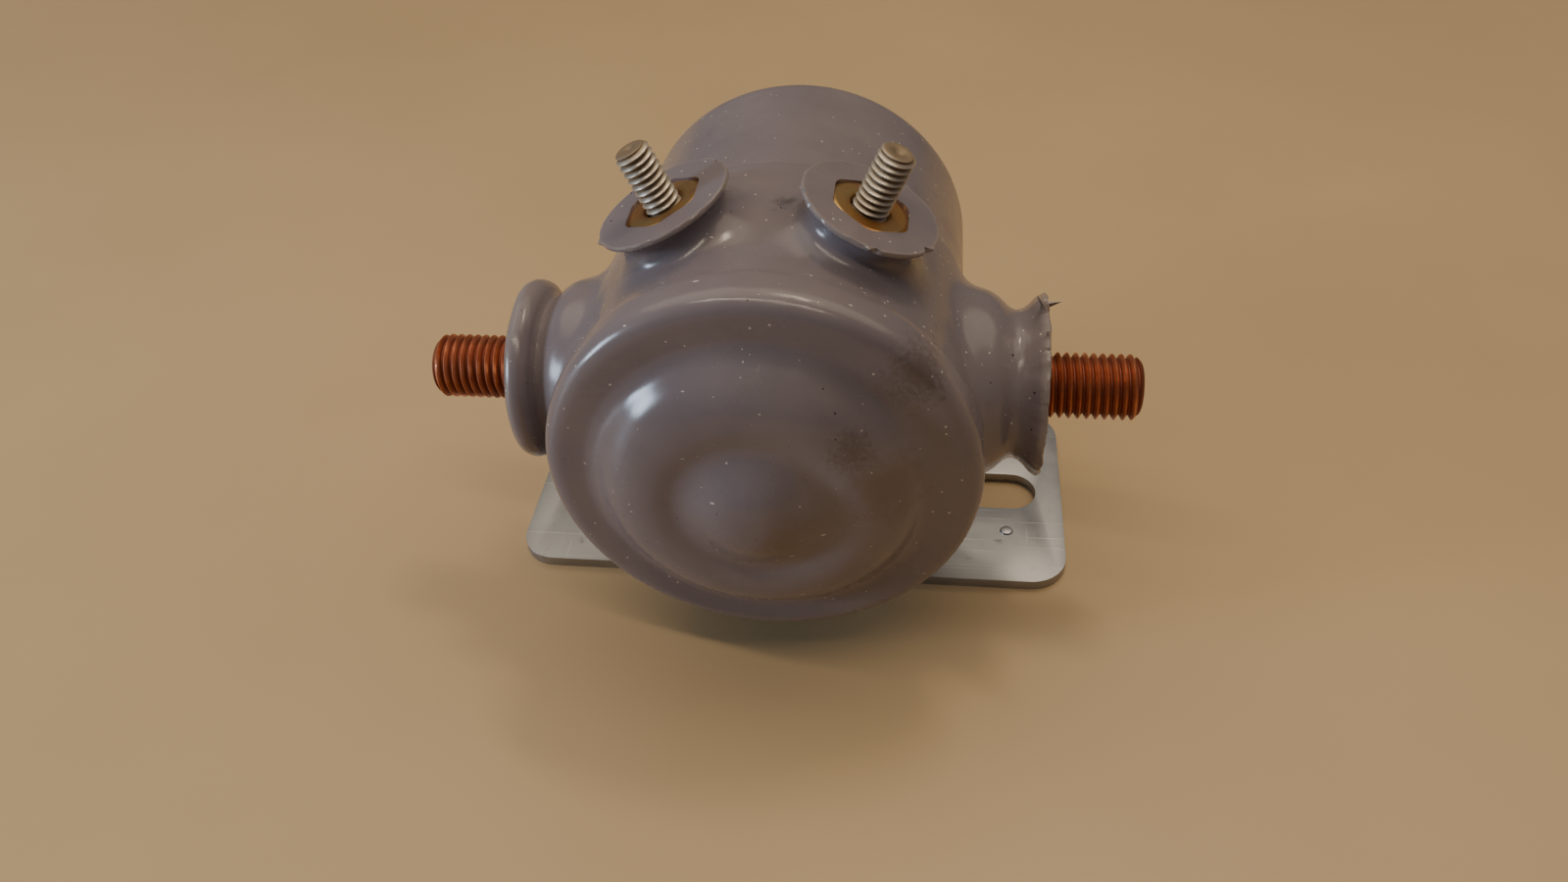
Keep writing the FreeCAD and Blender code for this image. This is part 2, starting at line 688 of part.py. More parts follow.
def make_coating(bosses, saddle):
    """One skin over cap, housing, can and saddle, open at the studs and the plate."""
    skirt = "saddle_width / 2 + coat"
    low, high = saddle_span("coat")
    skin = fuse(
        "coat_outside",
        turned("coat_body", body_outline("coat")),
        power_flare("flare_left", TO_LEFT, "flare_face_left", "flare_left_r"),
        power_flare("flare_right", TO_RIGHT, "flare_face_right", "flare_right_r"),
        coil_flare("coil_flare_left", -1),
        coil_flare("coil_flare_right", 1),
        box("coat_skirt", (f"0 - ({skirt})", skirt), (low, high), ("coat_line", "axis_height / 2")),
    )
    tunnel_half = "saddle_width / 2 - saddle_steel - coat"
    tunnel_low, tunnel_high = saddle_span("2 * coat")
    tunnel = cut(
        "saddle_tunnel",
        box("tunnel_block", (f"0 - ({tunnel_half})", tunnel_half), (tunnel_low, tunnel_high),
            ("0", "axis_height / 2")),
        tube("tunnel_roof", "0", "can_r + saddle_steel + coat", f"{tunnel_low} - overrun",
             f"{tunnel_high} + overrun"),
    )
    inside = [turned("covered_body", body_outline("0")), saddle, tunnel, *bosses]
    for way in (TO_LEFT, TO_RIGHT):
        inside.append(tube("power_washer_space", "0", "power_washer_r", "bore_r",
                           "power_seat + power_washer", way, "power_plane"))
        inside.append(hexagon("power_nut_space", "power_nut_af", "power_seat", "flare_face_right + overrun",
                              way, "power_plane"))
    for side in (-1, 1):
        inside.append(tube("coil_washer_space", "0", "coil_washer_r", "bore_r",
                           "coil_seat + coil_washer", leaning(side), "coil_plane"))
        inside.append(hexagon("coil_nut_space", "coil_nut_af", "coil_seat", "coil_flare_face + overrun",
                              leaning(side), "coil_plane"))
    return cut("dip_coating", skin, *inside)


# ---------------------------------------------------------------- magnet

def make_magnet():
    """Bobbin, winding, wrap, pole piece, sleeve and flux washer."""
    flange = "bobbin_flange_r"
    hub = "hub_r + bobbin_wall"
    rear = "coil_back - bobbin_flange"
    front = "flux_back + bobbin_flange"
    bobbin = turned("coil_bobbin", [
        ("hub_r", "flux_back"), (flange, "flux_back"), (flange, front), (hub, front),
        (hub, rear), (flange, rear), (flange, "coil_back"), ("hub_r", "coil_back"),
    ])
    winding = tube("coil_winding", f"{hub} + press_gap", "winding_r", f"{front} + press_gap",
                   f"{rear} - press_gap")
    wrap = tube("winding_wrap", "winding_r + press_gap", "winding_r + press_gap + wrap",
                f"{front} + press_gap", f"{rear} - press_gap")
    pole = turned("pole_piece", [
        ("0", "pole_face + pole_pocket"),
        ("spring_pocket_r", "pole_face + pole_pocket"),
        ("spring_pocket_r", "pole_face"),
        ("plunger_r", "pole_face"),
        ("plunger_r", "coil_back"),
        ("pole_flange_r", "coil_back"),
        ("pole_flange_r", "can_back - can_wall"),
        ("0", "can_back - can_wall"),
    ])
    sleeve = tube("guide_sleeve", "sleeve_in_r", "sleeve_out_r", "flux_front", "coil_back")
    disc = tube("flux_disc", "hub_r", "can_r - can_wall - press_gap", "flux_front", "flux_back")
    notches = [lead_hole("flux_notch", "lead_notch_r", side, "flux_front - overrun", "flux_back + overrun")
               for side in (-1, 1)]
    return bobbin, winding, wrap, pole, sleeve, cut("flux_washer", disc, *notches)


# ---------------------------------------------------------------- moving pieces

def make_plunger_set():
    """Plunger, its rod, and the cup and clip that hold the contact spring."""
    plunger = turned("plunger", [
        ("rod_r", "plunger_front"),
        ("plunger_r", "plunger_front"),
        ("plunger_r", "plunger_back"),
        ("spring_pocket_r", "plunger_back"),
        ("spring_pocket_r", "plunger_back - plunger_pocket"),
        ("0", "plunger_back - plunger_pocket"),
        ("0", "rod_tail"),
        ("rod_r", "rod_tail"),
    ])
    groove = "rod_r - clip_groove"
    rod = turned("plunger_rod", [
        ("0", "rod_front"),
        ("rod_r", "rod_front"),
        ("rod_r", "clip_front"),
        (groove, "clip_front"),
        (groove, "clip_front + clip"),
        ("rod_r", "clip_front + clip"),
        ("rod_r", "bush_back"),
        ("collar_r", "bush_back"),
        ("collar_r", "bush_back + collar"),
        ("rod_r", "bush_back + collar"),
        ("rod_r", "rod_tail"),
        ("0", "rod_tail"),
    ])
    ring = tube("clip_ring", groove, "clip_r", "clip_front", "clip_front + clip")
    mouth = box("clip_mouth", ("0 - clip_gap_half", "clip_gap_half"),
                ("clip_front - overrun", "clip_front + clip + overrun"),
                ("axis_height - clip_r - overrun", "axis_height"))
    clip = cut("retaining_clip", ring, mouth)
    cup = tube("spring_cup", "rod_r", "cup_r", "clip_front + clip", "clip_front + clip + cup")
    return plunger, rod, clip, cup


def make_contact_set():
    """Copper bridge disc between a flanged bush and a front washer."""
    slide_r = "rod_r + running_gap"
    sleeve_r = "rod_r + bush_sleeve"
    disc = tube("contact_disc", f"{sleeve_r} + press_gap", "disc_r", "disc_front", "disc_back")
    bush = turned("contact_bush", [
        (slide_r, "disc_front"), (sleeve_r, "disc_front"), (sleeve_r, "disc_back"),
        ("bush_r", "disc_back"), ("bush_r", "bush_back"), (slide_r, "bush_back"),
    ])
    washer = tube("contact_washer", slide_r, "bush_r", "washer_front", "disc_front")
    return disc, bush, washer


def make_all():
    saddle = make_saddle()
    bosses = make_bosses()
    pieces = [make_mounting_plate(), saddle, make_can(), make_end_cap(), make_housing(bosses)]
    pieces.append(tube("cap_gasket", "bore_r", "cap_rim_r - rim_round", "housing_front - gasket",
                       "housing_front"))
    pieces.append(make_coating(bosses, saddle))
    for side, way, sign in (("left", TO_LEFT, -1), ("right", TO_RIGHT, 1)):
        pieces.extend(make_power_terminal(side, way))
        pieces.extend(make_coil_terminal(side, sign))
    pieces.extend(make_magnet())
    pieces.extend(make_plunger_set())
    pieces.extend(make_contact_set())
    pieces.append(coil_spring("contact_spring", "contact_spring_r", "contact_spring_pitch",
                              "clip_front + clip + cup", "washer_front"))
    pieces.append(coil_spring("return_spring", "return_spring_r", "return_spring_pitch",
                              "plunger_back - plunger_pocket", "pole_face + pole_pocket"))
    return pieces


pieces = make_all()
document.recompute()

for thing in document.Objects:
    if "Invalid" in thing.State or "Error" in thing.State:
        raise RuntimeError(f"{thing.Label} failed: {thing.State}")
for piece in pieces:
    if piece.Shape.isNull() or not piece.Shape.isValid():
        raise RuntimeError(f"{piece.Label} has no valid shape")

os.makedirs("parts", exist_ok=True)
for piece in pieces:
    piece.Shape.exportStep(f"parts/{piece.Label}.step")
    print(piece.Label, len(piece.Shape.Solids), round(piece.Shape.Volume, 1))
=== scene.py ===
# %% [markdown]
# # A dipped plunger contactor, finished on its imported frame
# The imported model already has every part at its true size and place. This lesson adds what the
# plain solids lack: a soft vinyl skin with torn lips, real threads, plated nuts, a sheared plate,
# and a finish for each part, seen and unseen.
# The frame is loaded first, because every new piece takes its place from it.

# %% Load the frame
import json
import math

import bpy
from mathutils import Matrix, Vector

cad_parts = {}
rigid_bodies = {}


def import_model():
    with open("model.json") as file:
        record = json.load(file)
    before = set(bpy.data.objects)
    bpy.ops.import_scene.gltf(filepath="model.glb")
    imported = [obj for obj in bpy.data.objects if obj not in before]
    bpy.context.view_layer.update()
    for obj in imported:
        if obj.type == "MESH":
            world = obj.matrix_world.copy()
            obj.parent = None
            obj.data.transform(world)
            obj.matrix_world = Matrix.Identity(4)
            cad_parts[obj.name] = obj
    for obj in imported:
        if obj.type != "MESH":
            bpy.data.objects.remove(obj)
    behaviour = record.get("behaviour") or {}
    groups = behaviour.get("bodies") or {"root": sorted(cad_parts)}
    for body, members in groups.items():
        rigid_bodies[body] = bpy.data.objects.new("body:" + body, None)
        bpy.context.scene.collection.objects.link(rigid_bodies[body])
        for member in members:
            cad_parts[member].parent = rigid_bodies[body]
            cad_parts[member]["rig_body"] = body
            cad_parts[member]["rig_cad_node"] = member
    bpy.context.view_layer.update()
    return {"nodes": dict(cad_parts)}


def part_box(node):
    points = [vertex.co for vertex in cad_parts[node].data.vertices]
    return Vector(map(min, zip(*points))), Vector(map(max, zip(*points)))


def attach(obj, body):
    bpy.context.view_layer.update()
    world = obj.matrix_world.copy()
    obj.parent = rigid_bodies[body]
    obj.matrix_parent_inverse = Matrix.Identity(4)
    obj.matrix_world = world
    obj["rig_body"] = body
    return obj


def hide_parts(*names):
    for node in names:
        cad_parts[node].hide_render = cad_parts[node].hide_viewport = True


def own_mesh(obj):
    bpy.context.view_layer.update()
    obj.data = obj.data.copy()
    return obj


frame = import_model()
MM = 0.001

# %% [markdown]
# ## The contactor's own lines
# Three axes place everything: the can's axis along Y, the copper studs' axis along X, and the two
# coil studs, which lean 24 degrees to each side. They are read from the frame's boxes where a box
# gives them, so the skin and the studs can't drift from the solids under them.

# %% Axes and faces read from the frame
can_low, can_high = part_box("coil_can")
axis_height = (can_low.z + can_high.z) / 2 / MM
copper_low, copper_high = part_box("power_washer_right")
copper_plane = (copper_low.y + copper_high.y) / 2 / MM
copper_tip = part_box("power_stud_right")[1].x / MM
copper_nut_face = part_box("power_nut_right")[1].x / MM
small_plane = sum(v.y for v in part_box("coil_washer_right")) / 2 / MM
LEAN = math.radians(24)
SIDES = ((-1, "left"), (1, "right"))
copper_mid = Vector((0, copper_plane, axis_height))
small_mid = Vector((0, small_plane, axis_height))
print("axis", round(axis_height, 2), "copper plane", round(copper_plane, 2), "tip",
      round(copper_tip, 2), "nut face", round(copper_nut_face, 2), "small plane",
      round(small_plane, 2))


def along_can():
    """Turns a shape made about Z so that Z runs to the contactor's rear."""
    return Matrix.Translation((0, 0, axis_height * MM)) @ Matrix.Rotation(-math.pi / 2, 4, "X")


def out_of_side(side):
    """Z becomes the copper stud's way out, side -1 left and 1 right."""
    place = Matrix.Translation((0, copper_plane * MM, axis_height * MM))
    return place @ Matrix.Rotation(side * math.pi / 2, 4, "Y")


def out_of_top(side):
    """Z becomes the coil stud's way out."""
    place = Matrix.Translation((0, small_plane * MM, axis_height * MM))
    return place @ Matrix.Rotation(side * LEAN, 4, "Y")


def copper_way(side):
    """The way a copper stud points."""
    return Vector((side, 0, 0))


def small_way(side):
    """The way a coil stud points."""
    return Vector((side * math.sin(LEAN), 0, math.cos(LEAN)))


# %% [markdown]
# ## Working by hand from a script
# Operators act on whatever is selected, so one helper leaves only the wanted pieces selected.
# A turned part starts as a line: a plane merged to one vertex, then extruded point by point. Its
# corners are rounded with a vertex bevel while it is still a line, which costs nothing, and then
# it is spun. The seam and the poles are merged before the normals are set.

# %% Select, draw, round and spin
def take(*pieces):
    """Leaves only these pieces selected, the first one active."""
    bpy.ops.object.select_all(action="DESELECT")
    for piece in pieces:
        piece.select_set(True)
    bpy.context.view_layer.objects.active = pieces[0]


def edit(piece):
    take(piece)
    bpy.ops.object.mode_set(mode="EDIT")
    bpy.ops.mesh.select_mode(type="VERT")


def done():
    bpy.ops.object.mode_set(mode="OBJECT")


def draw_line(name, points):
    """An open line through (radius, height) points in millimetres."""
    first = points[0]
    bpy.ops.mesh.primitive_plane_add(size=MM, location=(first[0] * MM, 0, first[1] * MM))
    line = bpy.context.active_object
    line.name = line.data.name = name
    edit(line)
    bpy.ops.mesh.select_all(action="SELECT")
    bpy.ops.mesh.merge(type="CENTER")
    for here, there in zip(points, points[1:]):
        step = ((there[0] - here[0]) * MM, 0, (there[1] - here[1]) * MM)
        bpy.ops.mesh.extrude_region_move(TRANSFORM_OT_translate={"value": step})
    done()
    bpy.ops.object.transform_apply()
    return line


def select_near(piece, spot, reach=0.01):
    """Selects the vertices within reach millimetres of a spot, from object mode."""
    spot = Vector(spot) * MM
    for vertex in piece.data.vertices:
        vertex.select = (vertex.co - spot).length < reach * MM


def round_corner(line, radius, height, offset, segments=7):
    """Bevels the line's vertex at that place into an arc."""
    edit(line)
    bpy.ops.mesh.select_all(action="DESELECT")
    done()
    select_near(line, (radius, 0, height))
    bpy.ops.object.mode_set(mode="EDIT")
    bpy.ops.mesh.bevel(offset=offset * MM, segments=segments, affect="VERTICES")
    done()


def spin_up(line, steps, place):
    """Spins the line about Z into a closed turned piece, then sets it in its place."""
    edit(line)
    bpy.ops.mesh.select_all(action="SELECT")
    bpy.ops.mesh.spin(steps=steps, angle=2 * math.pi, center=(0, 0, 0), axis=(0, 0, 1))
    bpy.ops.mesh.select_all(action="SELECT")
    bpy.ops.mesh.remove_doubles(threshold=0.002 * MM)
    bpy.ops.mesh.normals_make_consistent(inside=False)
    done()
    set_down(line, place)
    return line


def set_down(piece, place):
    """Puts a piece made at the origin in its place, with the place in its mesh."""
    take(piece)
    piece.matrix_world = place
    bpy.ops.object.transform_apply()


def turned(name, points, steps, place, rounds=()):
    """A closed turned piece from its outline, with (radius, height, offset) rounds."""
    line = draw_line(name, points)
    for radius, height, offset in rounds:
        round_corner(line, radius, height, offset)
    return spin_up(line, steps, place)


def settle(piece, mod):
    """Applies a modifier, so that only its result is left in the mesh."""
    take(piece)
    bpy.ops.object.modifier_apply(modifier=mod.name)


def join_up(piece, tool, how):
    """UNION, DIFFERENCE or INTERSECT with a tool piece, which is then removed."""
    mod = piece.modifiers.new("join", "BOOLEAN")
    mod.operation, mod.solver, mod.object = how, "MANIFOLD", tool
    settle(piece, mod)
    bpy.data.objects.remove(tool)


def report(piece, finished=False):
    """Prints the size, and merges the slivers that cutting leaves on a finished piece."""
    if finished:
        edit(piece)
        bpy.ops.mesh.select_all(action="SELECT")
        bpy.ops.mesh.remove_doubles(threshold=0.001 * MM)
        bpy.ops.mesh.dissolve_degenerate(threshold=0.001 * MM)
        bpy.ops.mesh.select_all(action="DESELECT")
        bpy.ops.mesh.select_non_manifold()
        done()
        print("open or doubled corners left", sum(v.select for v in piece.data.vertices))
    faces = sum(len(p.vertices) - 2 for p in piece.data.polygons)
    low = [round(min(v.co[i] for v in piece.data.vertices) / MM, 2) for i in range(3)]
    high = [round(max(v.co[i] for v in piece.data.vertices) / MM, 2) for i in range(3)]
    print(piece.name, "triangles", faces, "low", low, "high", high)


# %% [markdown]
# ## The skin over cap, housing and can
# The real contactor is dipped in liquid vinyl, so one skin runs over every step and pools in the
# corners. The large outline is turned first. Its rounds are the cap's pressed shapes softened by
# the skin: a shoulder, a flat land and a rolled rim, then a shallow crease where the cap closes
# over the housing, a slope down to the can, and the can's drawn rear corner. The nub in the middle
# is a raised cosine, which leaves no edge at its foot or its top.

# %% The body outline
NUB_RISE, NUB_FOOT, DISH, HOLLOW, LAND, REAR = 2.75, 9.3, -37.3, -36.75, -32.4, 23.8
RIM_R, HOUSING_R, CAN_R = 24.75, 23.9, 22.3
NUB_TOP = DISH - NUB_RISE
NUB_POINTS, NUB_FULLNESS = 20, 1.35


def nub_face(share):
    """The nub's height at a share of its radius."""
    return HOLLOW + (NUB_TOP - HOLLOW) * (1 + math.cos(math.pi * share ** NUB_FULLNESS)) / 2


soft_nub = [(NUB_FOOT * i / NUB_POINTS, nub_face(i / NUB_POINTS)) for i in range(NUB_POINTS + 1)]
corners = [(14.42, DISH, 3.8), (18.82, LAND, 1.3), (RIM_R, LAND, 2.3), (RIM_R, -27.0, 0.45),
           (HOUSING_R, -26.1, 0.4), (HOUSING_R, -3.0, 0.9), (CAN_R, -1.4, 0.9), (CAN_R, REAR, 4.5)]
body_points = soft_nub + [(radius, height) for radius, height, offset in corners] + [(0, REAR)]
skin_body = turned("skin_body", body_points, 288, along_can(), corners)
report(skin_body)

# %% [markdown]
# ## Bosses and skirt
# Each stud stands on a moulded boss that the dip turned into a waisted neck. The necks are turned
# a little full at the root, because the fillets are made afterwards by relaxing the joined skin.
# The skirt is the skin over the saddle's legs, a box with soft upright edges. The same rounding of
# upright edges serves the nuts' pockets and the plate further down.

# %% Necks and skirt
COPPER_NECK = [(0, 14), (12.0, 14), (11.8, 22.0), (11.5, 24.0), (11.05, 25.3), (10.2, 26.4),
               (9.4, 27.2), (8.95, 27.8), (8.8, 28.4), (9.1, 29.3), (9.6, 30.0), (0, 30.0)]
SMALL_NECK = [(0, 14), (9.1, 14), (8.9, 21.7), (8.4, 22.7), (7.75, 23.5), (7.15, 24.2),
              (6.7, 24.9), (6.5, 25.6), (6.65, 26.4), (7.0, 26.9), (0, 26.9)]
pieces = [skin_body]
for side, word in SIDES:
    pieces.append(turned("neck", COPPER_NECK, 160, out_of_side(side), [(11.05, 25.3, 0.7)]))
    pieces.append(turned("neck", SMALL_NECK, 128, out_of_top(side)))


def block(name, low, high):
    """A plain box between two corners in millimetres."""
    middle = [(a + b) / 2 * MM for a, b in zip(low, high)]
    size = [(b - a) * MM for a, b in zip(low, high)]
    bpy.ops.mesh.primitive_cube_add(size=1, location=middle, scale=size)
    made = bpy.context.active_object
    made.name = made.data.name = name
    bpy.ops.object.transform_apply()
    return made


def upright_bevel(piece, offset, segments):
    """Rounds every edge that runs along Z."""
    edit(piece)
    bpy.ops.mesh.select_mode(type="EDGE")
    bpy.ops.mesh.select_all(action="DESELECT")
    done()
    for edge in piece.data.edges:
        a, b = (piece.data.vertices[i].co for i in edge.vertices)
        edge.select = (a - b).length > 0 and abs(a.x - b.x) + abs(a.y - b.y) < 0.001 * MM
    bpy.ops.object.mode_set(mode="EDIT")
    bpy.ops.mesh.bevel(offset=offset * MM, segments=segments)
    done()


skirt = block("skirt", (-14.5, -3.5, 4.5), (14.5, 20.5, 20.0))
upright_bevel(skirt, 1.5, 5)
pieces.append(skirt)
for piece in pieces[1:]:
    report(piece)

# %% [markdown]
# ## One skin with soft fillets
# The pieces are joined and remeshed into a single closed skin of small even quads. A Smooth
# modifier limited to the roots then relaxes the sharp valleys into fillets, which is what liquid
# vinyl does. Elsewhere the skin is shrink-wrapped back on to the turned body, so the glossy cap
# stays true. The weights come from each vertex's distance to the root rings.

# %% Join and remesh
true_body = skin_body.copy()
true_body.data = skin_body.data.copy()
true_body.name = "true_body"
bpy.context.collection.objects.link(true_body)

for piece in pieces[1:]:
    join_up(skin_body, piece, "UNION")
skin = skin_body
skin.name = skin.data.name = "vinyl_skin"
remesh = skin.modifiers.new("remesh", "REMESH")
remesh.mode, remesh.voxel_size, remesh.use_smooth_shade = "VOXEL", 0.47 * MM, True
settle(skin, remesh)
report(skin)

# %% Weigh how near each vertex is to a root
COPPER_ROOT, SMALL_ROOT, ROOT_BAND, ROOT_FULL, ROOT_REACH = 12.0, 9.0, 0.8, 0.3, 3.2
BOSS_START, BOSS_ROOM, RIM_FRONT, RIM_FADE = 10, 0.5, -28.5, 1.5
NEAR_BODY, BODY_LIMIT, SHARPEN = 24.2, 25.2, 1.6
bosses = []
for side, word in SIDES:
    bosses.append((copper_mid, copper_way(side), COPPER_ROOT))
    bosses.append((small_mid, small_way(side), SMALL_ROOT))


def fade(value, full, none):
    """1 up to full, easing to 0 at none."""
    t = min(1.0, max(0.0, (none - value) / (none - full)))
    return t * t * (3 - 2 * t)


def off_can_axis(spot):
    return math.hypot(spot.x, spot.z - axis_height)


def along_way(spot, base, way):
    """How far out along a stud's way a spot is, and how far from the stud's axis."""
    offset = spot - base
    out = offset.dot(way)
    return out, (offset - way * out).length


def root_weight(spot):
    """How near a spot is to the ring where a boss leaves the body."""
    best = 0.0
    for base, way, ring in bosses:
        out, radius = along_way(spot, base, way)
        if out >= BOSS_START:
            gap = math.hypot(max(0.0, abs(radius - ring) - ROOT_BAND),
                             max(0.0, off_can_axis(spot) - NEAR_BODY))
            best = max(best, fade(gap, ROOT_FULL, ROOT_REACH))
    if spot.y < RIM_FRONT:
        best *= fade(RIM_FRONT - spot.y, 0.0, RIM_FADE)
    return best


def on_boss(spot):
    from_bosses = [(*along_way(spot, base, way), ring) for base, way, ring in bosses]
    return any(out > BOSS_START and radius < ring + BOSS_ROOM for out, radius, ring in from_bosses)


def on_skirt(spot):
    return abs(spot.x) < 15.5 and -4.5 < spot.y < 21.5 and spot.z < axis_height - 8


relax = skin.vertex_groups.new(name="roots")
true = skin.vertex_groups.new(name="true")
for vertex in skin.data.vertices:
    spot = vertex.co / MM
    near_root = root_weight(spot)
    relax.add([vertex.index], near_root, "REPLACE")
    if off_can_axis(spot) < BODY_LIMIT and not on_boss(spot) and not on_skirt(spot):
        true.add([vertex.index], 1.0 - min(1.0, near_root * SHARPEN), "REPLACE")

# %% Relax the roots, keep the rest true
smooth = skin.modifiers.new("relax", "SMOOTH")
smooth.vertex_group, smooth.factor, smooth.iterations = "roots", 0.5, 90
wrap = skin.modifiers.new("true", "SHRINKWRAP")
wrap.vertex_group, wrap.target, wrap.wrap_method = "true", true_body, "NEAREST_SURFACEPOINT"
even = skin.modifiers.new("even", "SMOOTH")
even.factor, even.iterations = 0.5, 2
for mod in (smooth, wrap, even):
    settle(skin, mod)
bpy.data.objects.remove(true_body)
report(skin)

# %% [markdown]
# ## The lips
# Where the dip was cut back to free the studs it left flared lips: a thick bead on the left, a
# thin skirt on the right, and a flat flange round each coil stud. Remeshing can't hold edges this
# thin, so each lip is turned with fine steps and joined to the skin. Its inner end dives just
# under the neck, so the two surfaces meet almost parallel.

# %% Turn the lips
BEAD = [(0, 27.3), (8.3, 27.3), (8.79, 28.0), (9.2, 28.4), (9.95, 28.6), (10.7, 29.0),
        (11.08, 29.7), (11.1, 30.5), (10.8, 31.15), (10.2, 31.5), (9.4, 31.6), (0, 31.6)]
SKIRTED = [(0, 27.3), (8.3, 27.3), (8.82, 28.3), (9.15, 29.2), (9.75, 29.9), (10.4, 30.5),
           (10.85, 31.1), (11.0, 31.5), (10.85, 31.66), (10.3, 31.7), (0, 31.7)]
FLANGE = [(0, 24.4), (6.0, 24.4), (6.52, 25.5), (6.75, 26.3), (7.15, 26.85), (7.6, 27.2),
          (7.95, 27.45), (8.0, 27.8), (7.9, 27.97), (7.6, 28.0), (0, 28.0)]
HERE = Matrix.Identity(4)
bead_rounds = [(11.08, 29.7, 0.3), (11.1, 30.5, 0.3), (10.8, 31.15, 0.25)]
bead = turned("bead", BEAD, 200, HERE, bead_rounds)
torn_skirt = turned("torn_skirt", SKIRTED, 320, HERE)
flange_left = turned("flange_left", FLANGE, 280, HERE)
flange_right = turned("flange_right", FLANGE, 280, HERE)


def tear(piece, angle, radius, height, out, up, size):
    """Grabs the rim at one place and drags it out, or in if out is below zero."""
    turn = math.radians(angle)
    spot = Vector((radius * math.cos(turn), radius * math.sin(turn), height)) * MM
    nearest = min(piece.data.vertices, key=lambda v: (v.co - spot).length_squared).index
    edit(piece)
    bpy.ops.mesh.select_all(action="DESELECT")
    done()
    piece.data.vertices[nearest].select = True
    bpy.ops.object.mode_set(mode="EDIT")
    move = (out * math.cos(turn) * MM, out * math.sin(turn) * MM, up * MM)
    bpy.ops.transform.translate(value=move, use_proportional_edit=True,
                                proportional_edit_falloff="SHARP", proportional_size=size * MM,
                                use_proportional_connected=False)
    done()


def waver(piece, low, amount, grain):
    """A gentle wander in the rim, from a cloud texture, none inside the given radius."""
    group = piece.vertex_groups.new(name="rim")
    for vertex in piece.data.vertices:
        radius = math.hypot(vertex.co.x, vertex.co.y) / MM
        weight = fade(-radius, -low - 1.4, -low)
        if weight > 0:
            group.add([vertex.index], weight, "REPLACE")
    clouds = bpy.data.textures.new(piece.name + "_clouds", "CLOUDS")
    clouds.noise_scale, clouds.noise_depth = grain * MM, 2
    bpy.context.view_layer.update()
    wander = piece.modifiers.new("wander", "DISPLACE")
    wander.texture, wander.texture_coords, wander.vertex_group = clouds, "LOCAL", "rim"
    wander.strength, wander.mid_level, wander.direction = amount * MM, 0.5, "RGB_TO_XYZ"
    settle(piece, wander)


# %% Tear the lips
SKIRT_RIM, SKIRT_EDGE, FLANGE_RIM, FLANGE_EDGE = 11.0, 31.5, 8.0, 27.8
waver(bead, 9.4, 0.25, 6.0)
waver(torn_skirt, 9.6, 0.55, 2.4)
waver(flange_left, 7.2, 0.18, 3.0)
waver(flange_right, 7.2, 0.3, 2.2)
# the thin skirt: a sliver standing at the top, a point hanging at the bottom, one hair, nicks
for angle, height, out, up, size in (
        (180, 31.4, 1.9, -1.6, 1.2), (168, 31.5, -0.8, 0.0, 0.9), (200, 31.4, 0.6, -0.4, 0.7),
        (8, 31.4, 2.0, -0.8, 1.3), (-6, 31.4, -1.3, 0.0, 0.9), (171, 31.66, 0.2, 1.5, 0.24)):
    tear(torn_skirt, angle, SKIRT_RIM, height, out, up, size)
for angle, out in ((-150, -0.4), (-118, 0.35), (-95, -0.35), (-72, 0.3), (-48, -0.5), (-27, 0.4),
                   (40, -0.5), (95, 0.3)):
    tear(torn_skirt, angle, SKIRT_RIM, SKIRT_EDGE, out, 0.0, 0.6)
# the flanges: nicks, a clipped corner and a small curl
tear(flange_left, 38, FLANGE_RIM, FLANGE_EDGE, -0.9, 0.0, 0.8)
tear(flange_left, -155, FLANGE_RIM, FLANGE_EDGE, 0.35, 0.0, 1.0)
for angle, out in ((-88, 0.45), (-82, -0.35), (-32, -0.9), (-24, 0.35), (14, -0.4), (60, 0.2),
                   (158, -0.25), (176, -0.25), (195, -0.3), (214, -0.2)):
    tear(flange_right, angle, FLANGE_RIM, FLANGE_EDGE, out, 0.1, 0.7)
for lip, place in ((bead, out_of_side(-1)), (torn_skirt, out_of_side(1)),
                   (flange_left, out_of_top(-1)), (flange_right, out_of_top(1))):
    set_down(lip, place)
    report(lip)
    join_up(skin, lip, "UNION")
report(skin)

# %% [markdown]
# ## Hollow the skin
# The skin is a real skin: it is cut by the shapes it covers. The covered body is turned from the
# steel and moulded sizes, the bosses and washers are plain turned plugs, and each nut leaves a
# hexagonal pocket whose corners are rounded where the vinyl ran over the nut's chamfer. Under the
# can the saddle's tunnel stays open.

# %% Cut the steel and moulded body out
NUB_R, STEEL_NUB = 8.6, -35.8
NUB_BALL = (NUB_R ** 2 + NUB_RISE ** 2) / (2 * NUB_RISE)


def steel_nub(face, count=6):
    """Points down the cap's domed nub, from its top to its foot."""
    radii = [NUB_R * i / count for i in range(count + 1)]
    return [(r, face - (math.sqrt(NUB_BALL ** 2 - r ** 2) - (NUB_BALL - NUB_RISE))) for r in radii]


covered = steel_nub(STEEL_NUB) + [
    (13.8, STEEL_NUB), (18.2, -30.9), (20.95, -30.9), (22.6, -30.25), (23.25, -28.6),
    (23.25, -27.0), (22.42, -27.0), (22.42, -2.98), (20.82, -2.98), (20.82, 19.3), (19.95, 21.45),
    (17.8, 22.32), (0, 22.32),
]
join_up(skin, turned("covered", covered, 96, along_can()), "DIFFERENCE")


# %% Cut the bosses and the nuts' pockets
def hexagon(name, across, low, high, place, corner=0.0):
    """A six-sided bar about Z with flats that far across."""
    bpy.ops.mesh.primitive_cylinder_add(vertices=6, radius=across / 2 / math.cos(math.pi / 6) * MM,
                                        depth=(high - low) * MM,
                                        location=(0, 0, (low + high) / 2 * MM))
    bar = bpy.context.active_object
    bar.name = bar.data.name = name
    bpy.ops.object.transform_apply()
    if corner:
        upright_bevel(bar, corner, 5)
    set_down(bar, place)
    return bar


